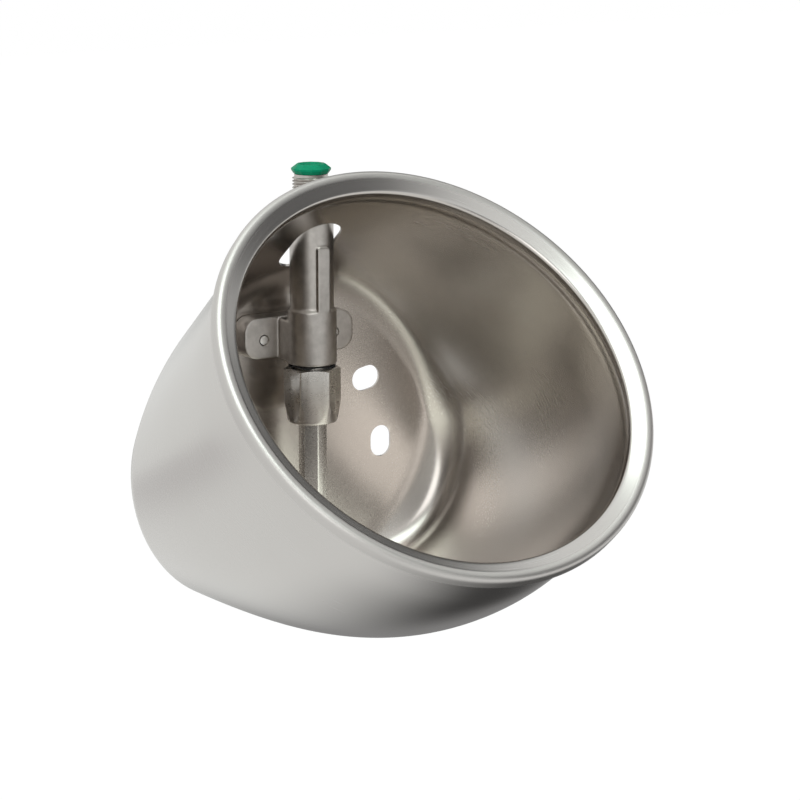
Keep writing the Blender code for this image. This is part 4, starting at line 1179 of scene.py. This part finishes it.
def make_camera():
    data = bpy.data.cameras.new("photo_view")
    data.lens = VIEW_LENS
    data.sensor_width = SENSOR
    data.clip_start = NEAR_CLIP
    camera = bpy.data.objects.new("photo_view", data)
    turn = math.radians(VIEW_TURN)
    rise = math.radians(VIEW_RISE)
    level = math.cos(rise)
    back = Vector((math.sin(turn) * level, -math.cos(turn) * level, math.sin(rise)))
    camera.location = Vector(VIEW_TARGET) + back * VIEW_DISTANCE
    bpy.context.scene.collection.objects.link(camera)
    aim(camera, VIEW_TARGET)
    bpy.context.scene.camera = camera


# Build

round_place = make_round_place()
fine_grain = make_fine_grain()
edge_wear = make_edge_wear()

sheet_finish = worked_metal(
    "satin_stainless_sheet",
    colour=(0.60, 0.575, 0.555),
    pale=(0.68, 0.655, 0.63),
    dull=(0.56, 0.535, 0.515),
    bright=(0.72, 0.71, 0.69),
    roughness=(0.225, 0.265),
    grain=(8.0, 2600.0, 10.0),
    bump=0.002,
    lines_share=0.12,
    centre=MOUTH_CENTRE,
    lean=MOUTH_LEAN,
    wear=(0.55, 0.75),
)
add_lip_and_inside_shade(sheet_finish)
bar_finish = worked_metal(
    "stainless_bar",
    colour=(0.62, 0.585, 0.55),
    pale=(0.70, 0.67, 0.64),
    dull=(0.54, 0.50, 0.465),
    bright=(0.84, 0.83, 0.80),
    roughness=(0.26, 0.34),
    grain=(60.0, 2600.0, 130.0),
    bump=0.05,
)
wire_finish = worked_metal(
    "spring_steel",
    colour=(0.58, 0.57, 0.56),
    pale=(0.66, 0.65, 0.64),
    dull=(0.48, 0.47, 0.46),
    bright=(0.80, 0.79, 0.78),
    roughness=(0.18, 0.28),
    grain=(120.0, 3000.0, 300.0),
    bump=0.08,
)
brass_finish = worked_metal(
    "brass",
    colour=(0.66, 0.47, 0.20),
    pale=(0.78, 0.60, 0.30),
    dull=(0.52, 0.35, 0.14),
    bright=(0.86, 0.70, 0.40),
    roughness=(0.22, 0.34),
    grain=(40.0, 3200.0, 180.0),
    bump=0.12,
)
cast_finish = cast_metal(
    "cast_stainless", colour=(0.55, 0.515, 0.485), pale=(0.82, 0.80, 0.77), dull=(0.44, 0.41, 0.385)
)
acetal_finish = moulded(
    "white_acetal",
    colour=(0.80, 0.80, 0.76),
    shade=(0.74, 0.74, 0.69),
    roughness=0.38,
    speckle=1500.0,
    bump=0.06,
)
cap_finish = moulded(
    "green_polyethylene",
    colour=(0.0, 0.33, 0.165),
    shade=(0.0, 0.26, 0.13),
    roughness=0.40,
    speckle=1800.0,
    bump=0.10,
    wear=0.2,
    sheen=0.12,
)
rubber_finish = moulded(
    "black_rubber",
    colour=(0.026, 0.026, 0.027),
    shade=(0.018, 0.018, 0.019),
    roughness=0.66,
    speckle=2400.0,
    bump=0.15,
)

make_bowl_sheet(sheet_finish)
make_valve_casting(cast_finish)
make_nut(bar_finish)
make_gasket(rubber_finish)
make_tube(bar_finish)
paint("fixing_screw_right", bar_finish, SCREW_EDGE)
paint("fixing_screw_left", bar_finish, SCREW_EDGE)
paint("thread_cap", cap_finish, CAP_EDGE)
INNER_FINISHES = (
    (bar_finish, ("tube_head", "plunger_stem", "spring_washer")),
    (wire_finish, ("return_spring", "strainer_screen")),
    (brass_finish, ("valve_seat", "seat_lock_ring", "seal_holder")),
    (acetal_finish, ("slip_ring", "flow_nozzle", "strainer_cage")),
    (rubber_finish, ("seat_o_ring", "seat_seal", "strainer_washer")),
)
for finish, inner_nodes in INNER_FINISHES:
    for inner in inner_nodes:
        paint(inner, finish)

make_floor()
make_world()
make_lamp("overhead_lamp", (-0.30, -0.55, 1.45), 1.3, 10.5, (0.87, 1.0, 0.945))
make_lamp("front_lamp", (-0.9, -1.5, 0.55), 0.9, 4.0, (0.98, 1.0, 0.985))
make_camera()
bpy.context.scene.view_settings.view_transform = "Standard"
